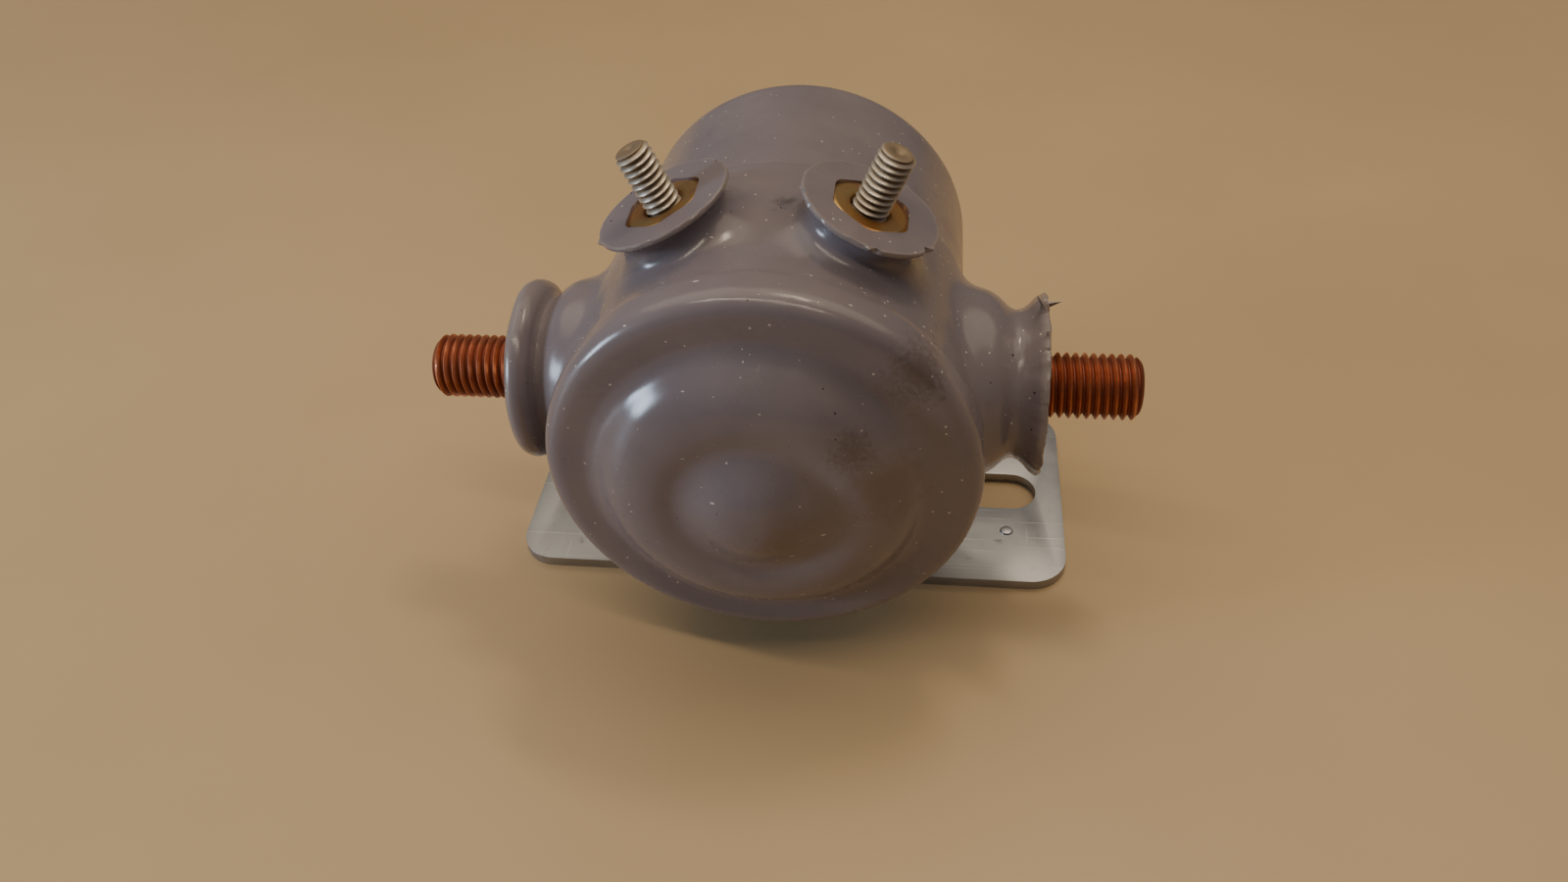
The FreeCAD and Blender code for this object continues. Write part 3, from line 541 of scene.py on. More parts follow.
BIG_PLUG = [(0, 15), (9.92, 15), (9.92, 19), (9.02, 25.1), (8.22, 25.1), (8.22, 26.12), (0, 26.12)]
SMALL_PLUG = [(0, 15), (5.22, 15), (5.22, 23.82), (5.06, 23.82), (5.06, 24.62), (0, 24.62)]
for side, word in SIDES:
    place = out_of_side(side)
    join_up(skin, turned("plug", BIG_PLUG, 64, place), "DIFFERENCE")
    join_up(skin, hexagon("socket", 12.72, 25.5, 30.4, place), "DIFFERENCE")
    join_up(skin, hexagon("pocket", 12.6, 30.3, 34, place, 1.1), "DIFFERENCE")
    place = out_of_top(side)
    join_up(skin, turned("plug", SMALL_PLUG, 48, place), "DIFFERENCE")
    join_up(skin, hexagon("socket", 8.75, 24, 27.4, place), "DIFFERENCE")
    join_up(skin, hexagon("pocket", 8.68, 27.3, 30, place, 0.9), "DIFFERENCE")

# %% Cut the tunnel and the slots for the saddle's legs
saddle_roof = [(0, -6), (23.8, -6), (23.8, 26), (0, 26)]
tunnel = block("tunnel", (-10, -6, 0), (10, 26, 20))
join_up(tunnel, turned("roof", saddle_roof, 96, along_can()), "DIFFERENCE")
join_up(skin, tunnel, "DIFFERENCE")
legs = block("legs", (-13.02, -2.02, 0), (13.02, 19.02, 22))
join_up(legs, block("between", (-11.48, -6, -1), (11.48, 26, 10)), "DIFFERENCE")
join_up(skin, legs, "DIFFERENCE")
report(skin, finished=True)

# %% [markdown]
# ## Rolled threads
# A thread is one tooth of line swept up a helix, so the Screw modifier makes it from a single
# pitch of profile. The sweep overshoots both ends, and a turned blank with a chamfered tip then
# trims it, the same order in which a real stud is pointed and rolled. The copper studs are
# 5/16-24 and the coil studs number 8-32, so their pitches are 1.058 and 0.794 mm.

# %% Sweep and trim a thread
TOOTH_DEPTH, ROOT_FLAT, CREST_DROP, BLANK_ROOM = 0.61, 0.06, 0.06, 0.03


def close_ends():
    """In edit mode, closes each open end of a sweep to a point."""
    bpy.ops.mesh.select_all(action="DESELECT")
    bpy.ops.mesh.select_non_manifold()
    bpy.ops.mesh.extrude_edges_move()
    bpy.ops.mesh.merge(type="COLLAPSE")
    bpy.ops.mesh.select_all(action="SELECT")
    bpy.ops.mesh.normals_make_consistent(inside=False)
    done()


def threaded(name, crest, pitch, low, high, chamfer, dimple, place):
    """A thread about Z from low to high, its crest rounded, its tip chamfered."""
    root, flat = crest - TOOTH_DEPTH * pitch, ROOT_FLAT * pitch
    tooth = [(root, 0), (root, flat), (crest - CREST_DROP, 0.40 * pitch), (crest, 0.5 * pitch),
             (crest - CREST_DROP, 0.60 * pitch), (root, pitch - flat), (root, pitch)]
    line = draw_line(name, [(r, h + low - 2 * pitch) for r, h in tooth])
    sweep = line.modifiers.new("sweep", "SCREW")
    sweep.axis, sweep.angle, sweep.screw_offset = "Z", 2 * math.pi, pitch * MM
    sweep.iterations = math.ceil((high - low) / pitch) + 4
    sweep.steps = sweep.render_steps = 40
    sweep.use_merge_vertices, sweep.merge_threshold = True, 0.002 * MM
    settle(line, sweep)
    edit(line)
    bpy.ops.mesh.select_all(action="SELECT")
    bpy.ops.mesh.remove_doubles(threshold=0.002 * MM)
    close_ends()
    blank_r = crest + BLANK_ROOM
    blank = [(0, low), (blank_r, low), (blank_r, high - chamfer), (crest - chamfer, high),
             (dimple, high), (dimple * 0.6, high - dimple * 0.35), (0, high - dimple * 0.45)]
    rounds = [(blank_r, high - chamfer, 0.3 * chamfer), (crest - chamfer, high, 0.35 * chamfer)]
    join_up(line, turned("blank", blank, 64, HERE, rounds), "INTERSECT")
    set_down(line, place)
    return line


# %% The four studs
COPPER_R, COPPER_PITCH, COPPER_THREAD_FROM, SHANK_TO = 3.969, 1.058, 24.0, 24.3
SMALL_R, SMALL_PITCH, SMALL_THREAD_FROM, SMALL_TIP = 2.083, 0.794, 23.0, 35.0
SMALL_ENDS = {"left": (0.54, 0.5), "right": (0.42, 0.75)}
HEAD_R, HEAD_FROM, HEAD_TO = 4.0, 16.495, 18.095
SHANK = [(0, 9), (COPPER_R, 9), (COPPER_R, SHANK_TO), (3.3, SHANK_TO), (3.3, 24.6), (0, 24.6)]
HEAD = [(0, HEAD_FROM), (HEAD_R, HEAD_FROM), (HEAD_R, HEAD_TO), (SMALL_R, HEAD_TO),
        (SMALL_R, 23.3), (1.6, 23.3), (1.6, 23.6), (0, 23.6)]
head_low, head_high = (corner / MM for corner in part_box("power_stud_right"))
fasteners = []
for side, word in SIDES:
    # copper: contact block inside, plain shank through the boss, thread outside
    stud = threaded("copper_stud_" + word, COPPER_R, COPPER_PITCH, COPPER_THREAD_FROM, copper_tip,
                    1.0, 1.3, out_of_side(side))
    shank = turned("shank", SHANK, 64, out_of_side(side))
    start, end = sorted((side * 7.5, side * 17.0))
    contact = block("contact", (start, head_low.y, head_low.z), (end, head_high.y, head_high.z))
    edit(contact)
    bpy.ops.mesh.select_all(action="SELECT")
    bpy.ops.mesh.bevel(offset=0.5 * MM, segments=3)
    done()
    join_up(shank, contact, "UNION")
    join_up(stud, shank, "UNION")
    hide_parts("power_stud_" + word)
    fasteners.append(("copper stud", word, stud))
    # coil stud: a flat head against its lug, then thread
    stud = threaded("coil_stud_threaded_" + word, SMALL_R, SMALL_PITCH, SMALL_THREAD_FROM,
                    SMALL_TIP, *SMALL_ENDS[word], out_of_top(side))
    head = turned("head", HEAD, 48, out_of_top(side), [(HEAD_R, HEAD_FROM, 0.3)])
    join_up(stud, head, "UNION")
    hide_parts("coil_stud_" + word)
    fasteners.append(("coil stud", word, stud))
for kind, word, stud in fasteners:
    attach(stud, "base")
    report(stud, finished=True)

# %% [markdown]
# ## Plated nuts
# A nut is a six-sided bar whose corners are turned off at 30 degrees. So the bar is crossed with a
# turned double cone, and the bore gets a countersink. Each nut is made about Z and then set down
# on its own stud.

# %% Chamfered nuts
BIG_FLATS, BIG_SEAT, SMALL_FLATS, SMALL_SEAT, SMALL_NUT_FACE = 12.7, 26.1, 8.73, 24.6, 27.8
FACE_SHARE, FACE_ROUND, SINK, THREAD_ROOM = 0.475, 0.15, 0.35, 0.05


def nut(name, across, low, high, bore, place):
    corner, face = across / 2 / math.cos(math.pi / 6), across * FACE_SHARE
    drop = (corner - face) * math.tan(math.radians(30))
    piece = hexagon(name, across, low, high, HERE)
    cone = [(0, low), (face, low), (corner + 0.01, low + drop), (corner + 0.01, high - drop),
            (face, high), (0, high)]
    rounds = [(face, high, FACE_ROUND), (face, low, FACE_ROUND)]
    join_up(piece, turned("cone", cone, 96, HERE, rounds), "INTERSECT")
    hole = [(0, low - 1), (bore + SINK + 1, low - 1), (bore, low + SINK), (bore, high - SINK),
            (bore + SINK + 1, high + 1), (0, high + 1)]
    join_up(piece, turned("hole", hole, 64, HERE), "DIFFERENCE")
    set_down(piece, place)
    return piece


for side, word in SIDES:
    big = nut("stud_nut_" + word, BIG_FLATS, BIG_SEAT, copper_nut_face, COPPER_R + THREAD_ROOM,
              out_of_side(side))
    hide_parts("power_nut_" + word)
    small = nut("coil_hex_nut_" + word, SMALL_FLATS, SMALL_SEAT, SMALL_NUT_FACE,
                SMALL_R + THREAD_ROOM, out_of_top(side))
    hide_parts("coil_nut_" + word)
    for kind, piece in (("stud nut", big), ("coil nut", small)):
        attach(piece, "base")
        fasteners.append((kind, word, piece))
        report(piece, finished=True)

# %% [markdown]
# ## The plate and the saddle
# The plate is a sheared blank: a box with rounded corners and two slots, its top edge rolled over a
# little by the die, which is the bright line seen along its front. The saddle keeps its packed
# shape, so a copy of it is merged, cleaned of the loose triangles, and given bent-steel edges.

# %% Blank, slots, edges and pip
plate_low, plate_high = (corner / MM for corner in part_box("mounting_plate"))
THICK, CORNER, SLOT_W, SLOT_L, SLOT_AT = 1.5, 5.0, 7.1, 14.4, 27.0
PIP = [(0, 0.9), (0.9, 0.9), (0.9, 1.5), (0.75, 1.72), (0.4, 1.8), (0, 1.8)]
PIP_X, PIP_Y = 29.9, -8.05


def edge_softener(piece, width, segments, angle=30):
    """Rounds every edge sharper than the angle."""
    mod = piece.modifiers.new("edges", "BEVEL")
    mod.width, mod.segments, mod.limit_method = width * MM, segments, "ANGLE"
    mod.angle_limit, mod.use_clamp_overlap, mod.harden_normals = math.radians(angle), True, False
    settle(piece, mod)


plate = block("zinc_plate", (plate_low.x, plate_low.y, 0), (plate_high.x, plate_high.y, THICK))
upright_bevel(plate, CORNER, 12)
for at in (-SLOT_AT, SLOT_AT):
    slot = block("slot", (at - SLOT_L / 2, -SLOT_W / 2, -1),
                 (at + SLOT_L / 2, SLOT_W / 2, THICK + 1))
    upright_bevel(slot, SLOT_W / 2 - 0.001, 14)
    join_up(plate, slot, "DIFFERENCE")
edit(plate)
bpy.ops.mesh.select_all(action="SELECT")
bpy.ops.mesh.dissolve_limited(angle_limit=math.radians(1))
done()
edge_softener(plate, 0.28, 3)
pip = turned("pip", PIP, 40, Matrix.Translation((PIP_X * MM, PIP_Y * MM, 0)))
join_up(plate, pip, "UNION")
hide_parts("mounting_plate")
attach(plate, "base")
report(plate)

# %% The saddle's edges
saddle = frame["nodes"]["can_saddle"].copy()
saddle.data = saddle.data.copy()
saddle.name = saddle.data.name = "bent_saddle"
bpy.context.collection.objects.link(saddle)
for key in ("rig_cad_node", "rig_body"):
    del saddle[key]
saddle.parent = None
edit(saddle)
bpy.ops.mesh.select_all(action="SELECT")
bpy.ops.mesh.remove_doubles(threshold=0.001 * MM)
bpy.ops.mesh.dissolve_limited(angle_limit=math.radians(1))
done()
edge_softener(saddle, 0.2, 2, 40)
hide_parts("can_saddle")
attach(saddle, "base")
report(saddle)

# %% [markdown]
# ## The two springs
# The springs inside are round wire wound on a helix, with a closed ring at each end. Each is a
# circle swept once up its whole height.

# %% Wind the springs
WIRE, RETURN_PITCH, CONTACT_PITCH = 0.4, 2.2, 1.9
springs = []


def wound(name, node, pitch, ring_gap=0.05):
    """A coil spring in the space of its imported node, wound about the can's axis."""
    low, high = (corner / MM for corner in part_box(node))
    mean = (high.x - low.x) / 2 - WIRE
    rise = high.y - low.y - 2 * WIRE - 2 * ring_gap
    bpy.ops.mesh.primitive_circle_add(vertices=14, radius=WIRE * MM, rotation=(math.pi / 2, 0, 0),
                                      location=(mean * MM, 0, (low.y + WIRE + ring_gap) * MM))
    spring = bpy.context.active_object
    spring.name = spring.data.name = name
    bpy.ops.object.transform_apply()
    sweep = spring.modifiers.new("sweep", "SCREW")
    sweep.axis, sweep.angle, sweep.screw_offset = "Z", 2 * math.pi * rise / pitch, rise * MM
    sweep.steps = sweep.render_steps = round(30 * rise / pitch)
    settle(spring, sweep)
    edit(spring)
    close_ends()
    for height in (low.y + WIRE, high.y - WIRE):
        bpy.ops.mesh.primitive_torus_add(major_segments=48, minor_segments=14,
                                         location=(0, 0, height * MM),
                                         major_radius=mean * MM, minor_radius=WIRE * MM)
        ring = bpy.context.active_object
        bpy.ops.object.transform_apply()
        join_up(spring, ring, "UNION")
    set_down(spring, along_can())
    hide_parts(node)
    springs.append(spring)
    report(spring, finished=True)
    return spring, low.y, high.y


spring, front, rear = wound("coiled_return_spring", "return_spring", RETURN_PITCH)
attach(spring, "base")
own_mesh(spring)
spring, front, rear = wound("coiled_contact_spring", "contact_spring", CONTACT_PITCH)
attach(spring, "contact_carrier")
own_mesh(spring)

# %% [markdown]
# ## Shared effects as node groups
# Several finishes need the same things: a soft wander in tone, small flecks of dust, scuffs drawn
# one way, a broken blot at one place, and a distance from an axis, which tells a thread's crest
# from its root. Each is a group built once. All read Object coordinates, so a pattern stays on its
# part, and every group gives out one value that varies over the surface.

# %% Small helpers for node trees
def add_node(tree, kind, inputs=None, **settings):
    """A node with its settings, its inputs given as values or as sockets to link."""
    node = tree.nodes.new(kind)
    for key, value in settings.items():
        setattr(node, key, value)
    for key, value in (inputs or {}).items():
        if isinstance(value, bpy.types.NodeSocket):
            tree.links.new(value, node.inputs[key])
        else:
            node.inputs[key].default_value = value
    return node


def sum_up(tree, how, a, b):
    return add_node(tree, "ShaderNodeMath", {0: a, 1: b}, operation=how).outputs[0]


def times(tree, a, b):
    return sum_up(tree, "MULTIPLY", a, b)


def larger(tree, a, b):
    return sum_up(tree, "MAXIMUM", a, b)


def on_vectors(tree, how, *vectors):
    return add_node(tree, "ShaderNodeVectorMath", dict(enumerate(vectors)), operation=how).outputs


def noise(tree, where, scale, detail=3.0, rough=0.5):
    """Cloud noise, from 0 to 1."""
    inputs = {"Vector": where, "Scale": scale, "Detail": detail, "Roughness": rough}
    return add_node(tree, "ShaderNodeTexNoise", inputs).outputs["Fac"]


def ramp(tree, value, low, high, start=0.0, end=1.0):
    """Maps low..high to start..end with soft ends."""
    node = add_node(tree, "ShaderNodeMapRange", {"Value": value, "From Min": low, "From Max": high,
                    "To Min": start, "To Max": end}, interpolation_type="SMOOTHSTEP")
    return node.outputs["Result"]


def new_group(name, sockets):
    """A shader group: Vector and the named values go in, Value comes out."""
    tree = bpy.data.node_groups.new(name, "ShaderNodeTree")
    tree.interface.new_socket("Vector", in_out="INPUT", socket_type="NodeSocketVector")
    for label, value in sockets.items():
        kind = "NodeSocketVector" if isinstance(value, tuple) else "NodeSocketFloat"
        tree.interface.new_socket(label, in_out="INPUT", socket_type=kind).default_value = value
    tree.interface.new_socket("Value", in_out="OUTPUT", socket_type="NodeSocketFloat")
    given, result = tree.nodes.new("NodeGroupInput"), tree.nodes.new("NodeGroupOutput")
    return tree, given.outputs, result.inputs["Value"]


# %% Build the groups
tree, given, result = new_group("tone_wander", {"Scale": 100.0, "Low": 0.3, "High": 0.7})
cloud = noise(tree, given["Vector"], given["Scale"], 4.0, 0.55)
tree.links.new(ramp(tree, cloud, given["Low"], given["High"]), result)

tree, given, result = new_group("dust_flecks", {"Scale": 600.0, "Share": 0.1, "Size": 0.2})
cell_inputs = {"Vector": given["Vector"], "Scale": given["Scale"]}
cells = add_node(tree, "ShaderNodeTexVoronoi", cell_inputs).outputs
pick = add_node(tree, "ShaderNodeSeparateColor", {"Color": cells["Color"]}).outputs
own_size = times(tree, pick["Green"], given["Size"])
inside = sum_up(tree, "LESS_THAN", cells["Distance"], own_size)
chosen = sum_up(tree, "LESS_THAN", pick["Red"], given["Share"])
tree.links.new(times(tree, inside, chosen), result)

tree, given, result = new_group("drawn_scuffs", {"Stretch": (40.0, 900.0, 900.0), "Low": 0.62,
                                                 "High": 0.72})
stretch_inputs = {"Vector": given["Vector"], "Scale": given["Stretch"]}
stretched = add_node(tree, "ShaderNodeMapping", stretch_inputs).outputs["Vector"]
lines = noise(tree, stretched, 1.0)
tree.links.new(ramp(tree, lines, given["Low"], given["High"]), result)

tree, given, result = new_group("placed_blot", {"Place": (0.0, 0.0, 0.0), "Reach": 0.005,
                                                  "Break": 300.0})
gap = on_vectors(tree, "DISTANCE", given["Vector"], given["Place"])["Value"]
near = sum_up(tree, "DIVIDE", gap, given["Reach"])
cloud = noise(tree, given["Vector"], given["Break"], 6.0, 0.7)
broken = sum_up(tree, "ADD", near, times(tree, sum_up(tree, "SUBTRACT", cloud, 0.5), 2.2))
tree.links.new(ramp(tree, broken, 0.9, 0.1), result)

tree, given, result = new_group("from_axis", {"Point": (0.0, 0.0, 0.0), "Way": (1.0, 0.0, 0.0)})
offset = on_vectors(tree, "SUBTRACT", given["Vector"], given["Point"])["Vector"]
across = on_vectors(tree, "CROSS_PRODUCT", offset, given["Way"])["Vector"]
tree.links.new(on_vectors(tree, "LENGTH", across)["Value"], result)
print("groups", [group.name for group in bpy.data.node_groups])

# %% [markdown]
# ## A material's skeleton
# Every finish starts the same way: a Principled shader with its uniform numbers set straight on its
# sockets, and Object coordinates. Varying colour, roughness and bump are then linked in. Colours
# are linear values.

# %% Start a finish and mix colours
def new_finish(name, **uniform):
    """Returns the material's tree, its Principled node and the Object coordinates."""
    finish = bpy.data.materials.new(name)
    finish.use_nodes = True
    tree = finish.node_tree
    shader = next(n for n in tree.nodes if n.type == "BSDF_PRINCIPLED")
    for key, value in uniform.items():
        shader.inputs[key.replace("_", " ")].default_value = value
    where = tree.nodes.new("ShaderNodeTexCoord").outputs["Object"]
    return finish, tree, shader, where


def use_group(tree, name, where, **values):
    node = tree.nodes.new("ShaderNodeGroup")
    node.node_tree = bpy.data.node_groups[name]
    tree.links.new(where, node.inputs["Vector"])
    for key, value in values.items():
        node.inputs[key].default_value = value
    return node.outputs["Value"]


def blend_colour(tree, amount, first, second):
    """First where amount is 0, second where it is 1. Each is a colour or a socket."""
    node = add_node(tree, "ShaderNodeMix", data_type="RGBA")
    tree.links.new(amount, node.inputs["Factor"])
    for slot_at, colour in ((6, first), (7, second)):
        if isinstance(colour, bpy.types.NodeSocket):
            tree.links.new(colour, node.inputs[slot_at])
        else:
            node.inputs[slot_at].default_value = (*colour, 1.0)
    return node.outputs[2]


def tint_by(tree, colour, mask, share, tint):
    """Lays a tint over a colour where a mask is high, by up to its share."""
    return blend_colour(tree, times(tree, mask, share), colour, tint)


def raise_up(tree, shader, height, strength, distance):
    """Bump from a height value, distance in millimetres."""
    node = add_node(tree, "ShaderNodeBump", {"Height": height, "Strength": strength,
                                             "Distance": distance * MM})
    tree.links.new(node.outputs["Normal"], shader.inputs["Normal"])


def hue(tree, colour, shader):
    tree.links.new(colour, shader.inputs["Base Color"])


def roughen(tree, value, shader, low, high):
    tree.links.new(ramp(tree, value, 0.0, 1.0, low, high), shader.inputs["Roughness"])


# %% [markdown]
# ## Dipped vinyl
# The skin is a warm mid grey with a violet cast, half glossy, slightly uneven in tone where the dip
# ran thick. Handling has left pale dust and fibres, tiny dark specks, and brown rubs and blots on
# the cap and between the coil studs. The soft brown blot on the nub's lower right is painted shade
# with a painted warm reflection, and the torn rims of the lips are paler, partly as a painted edge
# highlight.

# %% The vinyl's colour
# brown blots: rubs, a broad blot on the cap's right, and painted shade with a warm reflection on
# the nub
RUBS_AND_PAINTED_REFLECTION = (((10.6, -36.9, 40.6), 3.8, 2300.0, (0.110, 0.076, 0.060)),
        ((17.0, -31.6, 47.6), 5.0, 1600.0, (0.095, 0.062, 0.048)),
        ((14.5, -36.0, 35.0), 7.0, 260.0, (0.165, 0.120, 0.098)),
        ((1.8, -12.5, 55.6), 2.2, 900.0, (0.045, 0.032, 0.028)),
        ((4.0, -40.0, 28.5), 6.0, 260.0, (0.170, 0.128, 0.108)))
vinyl, tree, shader, where = new_finish("dipped_vinyl_grey", IOR=1.5, Coat_Weight=0.0)
tone = use_group(tree, "tone_wander", where, Scale=70.0, Low=0.3, High=0.7)
colour = blend_colour(tree, tone, (0.182, 0.154, 0.172), (0.218, 0.184, 0.197))
# each blot tints the colour; the last one paints shade and a warm reflection on the nub's lower
# right
for spot, reach, grain, tint in RUBS_AND_PAINTED_REFLECTION:
    blot_mask = use_group(tree, "placed_blot", where, Place=[v * MM for v in spot], Reach=reach * MM,
                    Break=grain)
    colour = tint_by(tree, colour, blot_mask, 0.55, tint)
grime = use_group(tree, "tone_wander", where, Scale=240.0, Low=0.60, High=0.78)
colour = tint_by(tree, colour, grime, 0.35, (0.150, 0.118, 0.108))
dark = use_group(tree, "dust_flecks", where, Scale=800.0, Share=0.08, Size=0.13)
colour = blend_colour(tree, dark, colour, (0.02, 0.014, 0.012))
pale = use_group(tree, "dust_flecks", where, Scale=1050.0, Share=0.4, Size=0.15)
fibre_inputs = {"Vector": where, "Rotation": (0.4, 0.9, 0.6), "Scale": (0.22, 1.0, 1.0)}
fibre_turn = add_node(tree, "ShaderNodeMapping", fibre_inputs).outputs["Vector"]
fibre = use_group(tree, "dust_flecks", fibre_turn, Scale=1050.0, Share=0.13, Size=0.15)
dust = larger(tree, pale, fibre)
colour = tint_by(tree, colour, dust, 0.8, (0.62, 0.57, 0.52))
# the lips' torn rims are paler: partly the torn vinyl's own tone, partly a painted edge highlight
torn_and_highlight_tone = add_node(tree, "ShaderNodeAttribute", attribute_name="torn_edge_and_highlight").outputs["Fac"]
colour = tint_by(tree, colour, torn_and_highlight_tone, 0.35, (0.36, 0.31, 0.28))
hue(tree, colour, shader)

# %% The vinyl's gloss and grain
sheen_wander = use_group(tree, "tone_wander", where, Scale=160.0, Low=0.3, High=0.7)
uneven = ramp(tree, sheen_wander, 0.0, 1.0, 0.0, 0.35)
roughen(tree, larger(tree, uneven, larger(tree, dust, grime)), shader, 0.20, 0.48)
peel = times(tree, noise(tree, where, 900.0), 0.5)
raise_up(tree, shader, sum_up(tree, "ADD", peel, dust), 0.30, 0.04)

# %% Mark the torn edges, paler and with a painted edge highlight, and dress the skin
BIG_LIP_R, BIG_LIP_FACE, FLANGE_LIP_R, FLANGE_LIP_FACE, LIP_DEPTH = 10.5, 30.9, 7.72, 27.5, 1.5
lips = [(copper_mid, copper_way(side), BIG_LIP_R, BIG_LIP_FACE) for side, word in SIDES]
lips += [(small_mid, small_way(side), FLANGE_LIP_R, FLANGE_LIP_FACE) for side, word in SIDES]
# the torn rims are marked for their paler tone and their painted edge highlight
torn = skin.data.attributes.new("torn_edge_and_highlight", "FLOAT", "POINT")
for vertex in skin.data.vertices:
    for base, way, rim, face in lips:
        out, radius = along_way(vertex.co / MM, base, way)
        if out > face - LIP_DEPTH:
            at_rim = fade(-radius, -rim - 0.2, -rim + 0.1)
            torn.data[vertex.index].value = at_rim * fade(-out, -face, 0.8 - face)


def dress(piece, finish, smooth_angle=None):
    """One finish on a new piece, with its faces smoothed up to an angle."""
    piece.data.materials.clear()
    piece.data.materials.append(finish)
    if smooth_angle:
        take(piece)
        bpy.ops.object.shade_smooth_by_angle(angle=math.radians(smooth_angle))


dress(skin, vinyl, 38)
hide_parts("dip_coating")
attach(skin, "base")

# %% [markdown]
# ## Copper, zinc and chromate
# Bare copper studs have gone red-brown, brightest on the crests, their roots darkened as painted
# shade. The coil studs are dull zinc, their roots likewise darkened as painted shade. The nuts are
# zinc with a yellow chromate, whose thin film drifts between gold, green and rose, with painted
# shade in a ring round the stud. The plate is bright zinc with scuffs and stains.

# %% Threads
def thread_finish(name, point, way, root, crest, root_shade_colour, mid_colour, bright, rough):
    """Metal that is bright at the crest radius and darkened at the root radius as painted shade."""
    finish, tree, shader, where = new_finish(name, Metallic=0.72)
    radius = use_group(tree, "from_axis", where, Point=[v * MM for v in point], Way=way)
    height = ramp(tree, radius, root * MM, crest * MM)
    tone = use_group(tree, "tone_wander", where, Scale=420.0, Low=0.3, High=0.7)
    metal = blend_colour(tree, tone, mid_colour, bright)
    # painted shade: the colour darkens from the crest radius into the thread's roots
    hue(tree, blend_colour(tree, height, root_shade_colour, metal), shader)
    polish = times(tree, height, ramp(tree, tone, 0.0, 1.0, 0.6, 1.0))
    roughen(tree, sum_up(tree, "SUBTRACT", 1.0, polish), shader, *rough)
    raise_up(tree, shader, noise(tree, where, 3000.0), 0.25, 0.03)
    return finish


copper = thread_finish("aged_copper", copper_mid, copper_way(1), 3.35, 3.9, (0.220, 0.062, 0.036),
                       (0.42, 0.120, 0.058), (0.62, 0.215, 0.105), (0.30, 0.55))
zinc_thread = {word: thread_finish("dull_zinc_" + word, small_mid, small_way(side), 1.62, 2.05,
                                   (0.27, 0.205, 0.14), (0.50, 0.43, 0.35), (0.68, 0.61, 0.52),
                                   (0.36, 0.62))
               for side, word in SIDES}


# %% Yellow chromate
def chromate_finish(name, point, way, stud_radius):
    """Gold film that drifts in hue, stained in spots, with painted shade in a ring round the stud.
    """
    finish, tree, shader, where = new_finish(name, Metallic=0.8)
    drift = use_group(tree, "tone_wander", where, Scale=190.0, Low=0.32, High=0.68)
    drift_two = use_group(tree, "tone_wander", where, Scale=420.0, Low=0.45, High=0.7)
    gold = blend_colour(tree, drift, (0.62, 0.29, 0.085), (0.50, 0.33, 0.13))
    gold = tint_by(tree, gold, drift_two, 0.6, (0.42, 0.19, 0.12))
    stain = use_group(tree, "tone_wander", where, Scale=700.0, Low=0.58, High=0.74)
    radius = use_group(tree, "from_axis", where, Point=[v * MM for v in point], Way=way)
    # painted shade: the colour darkens in a ring round the stud, where the countersink lies in
    # shade
    shade_round_stud = ramp(tree, radius, (stud_radius + 1.1) * MM, (stud_radius + 0.2) * MM)
    stains_and_shade = larger(tree, times(tree, stain, 0.6), times(tree, shade_round_stud, 0.6))
    hue(tree, blend_colour(tree, stains_and_shade, gold, (0.12, 0.055, 0.022)), shader)
    roughen(tree, stains_and_shade, shader, 0.28, 0.55)
    tool_marks = use_group(tree, "drawn_scuffs", where, Stretch=(900.0, 120.0, 900.0), Low=0.45,
                           High=0.75)
    raise_up(tree, shader, tool_marks, 0.25, 0.02)
    return finish


chromate_big = chromate_finish("yellow_chromate", copper_mid, copper_way(1), COPPER_R)
chromate_small = {word: chromate_finish("yellow_chromate_" + word, small_mid, small_way(side),
                                        SMALL_R) for side, word in SIDES}

# %% The plate's bright zinc
bright_zinc, tree, shader, where = new_finish("bright_zinc_sheet", Metallic=1.0)
cloudy = use_group(tree, "tone_wander", where, Scale=110.0, Low=0.25, High=0.75)
colour = blend_colour(tree, cloudy, (0.345, 0.345, 0.360), (0.435, 0.435, 0.450))
blotch = use_group(tree, "tone_wander", where, Scale=420.0, Low=0.62, High=0.74)
colour = tint_by(tree, colour, blotch, 0.45, (0.20, 0.18, 0.16))
flow = use_group(tree, "drawn_scuffs", where, Stretch=(60.0, 1400.0, 1400.0), Low=0.60, High=0.72)
cross = use_group(tree, "drawn_scuffs", where, Stretch=(1300.0, 90.0, 1300.0), Low=0.66, High=0.76)
scuffs = larger(tree, flow, cross)
hue(tree, tint_by(tree, colour, scuffs, 0.35, (0.62, 0.62, 0.63)), shader)
roughen(tree, larger(tree, times(tree, cloudy, 0.5), blotch), shader, 0.38, 0.58)
raise_up(tree, shader, sum_up(tree, "ADD", scuffs, times(tree, cloudy, 0.4)), 0.3, 0.03)

# %% Dress the metal pieces
STUD_SMOOTH, NUT_SMOOTH, SHEET_SMOOTH = 42, 28, 35
for kind, word, piece in fasteners:
    finish_of = {"copper stud": copper, "coil stud": zinc_thread[word], "stud nut": chromate_big,
                 "coil nut": chromate_small[word]}
    dress(piece, finish_of[kind], NUT_SMOOTH if kind.endswith("nut") else STUD_SMOOTH)
dress(plate, bright_zinc, SHEET_SMOOTH)
dress(saddle, bright_zinc, SHEET_SMOOTH)
print("metal finishes on", len(fasteners) + 2, "pieces")
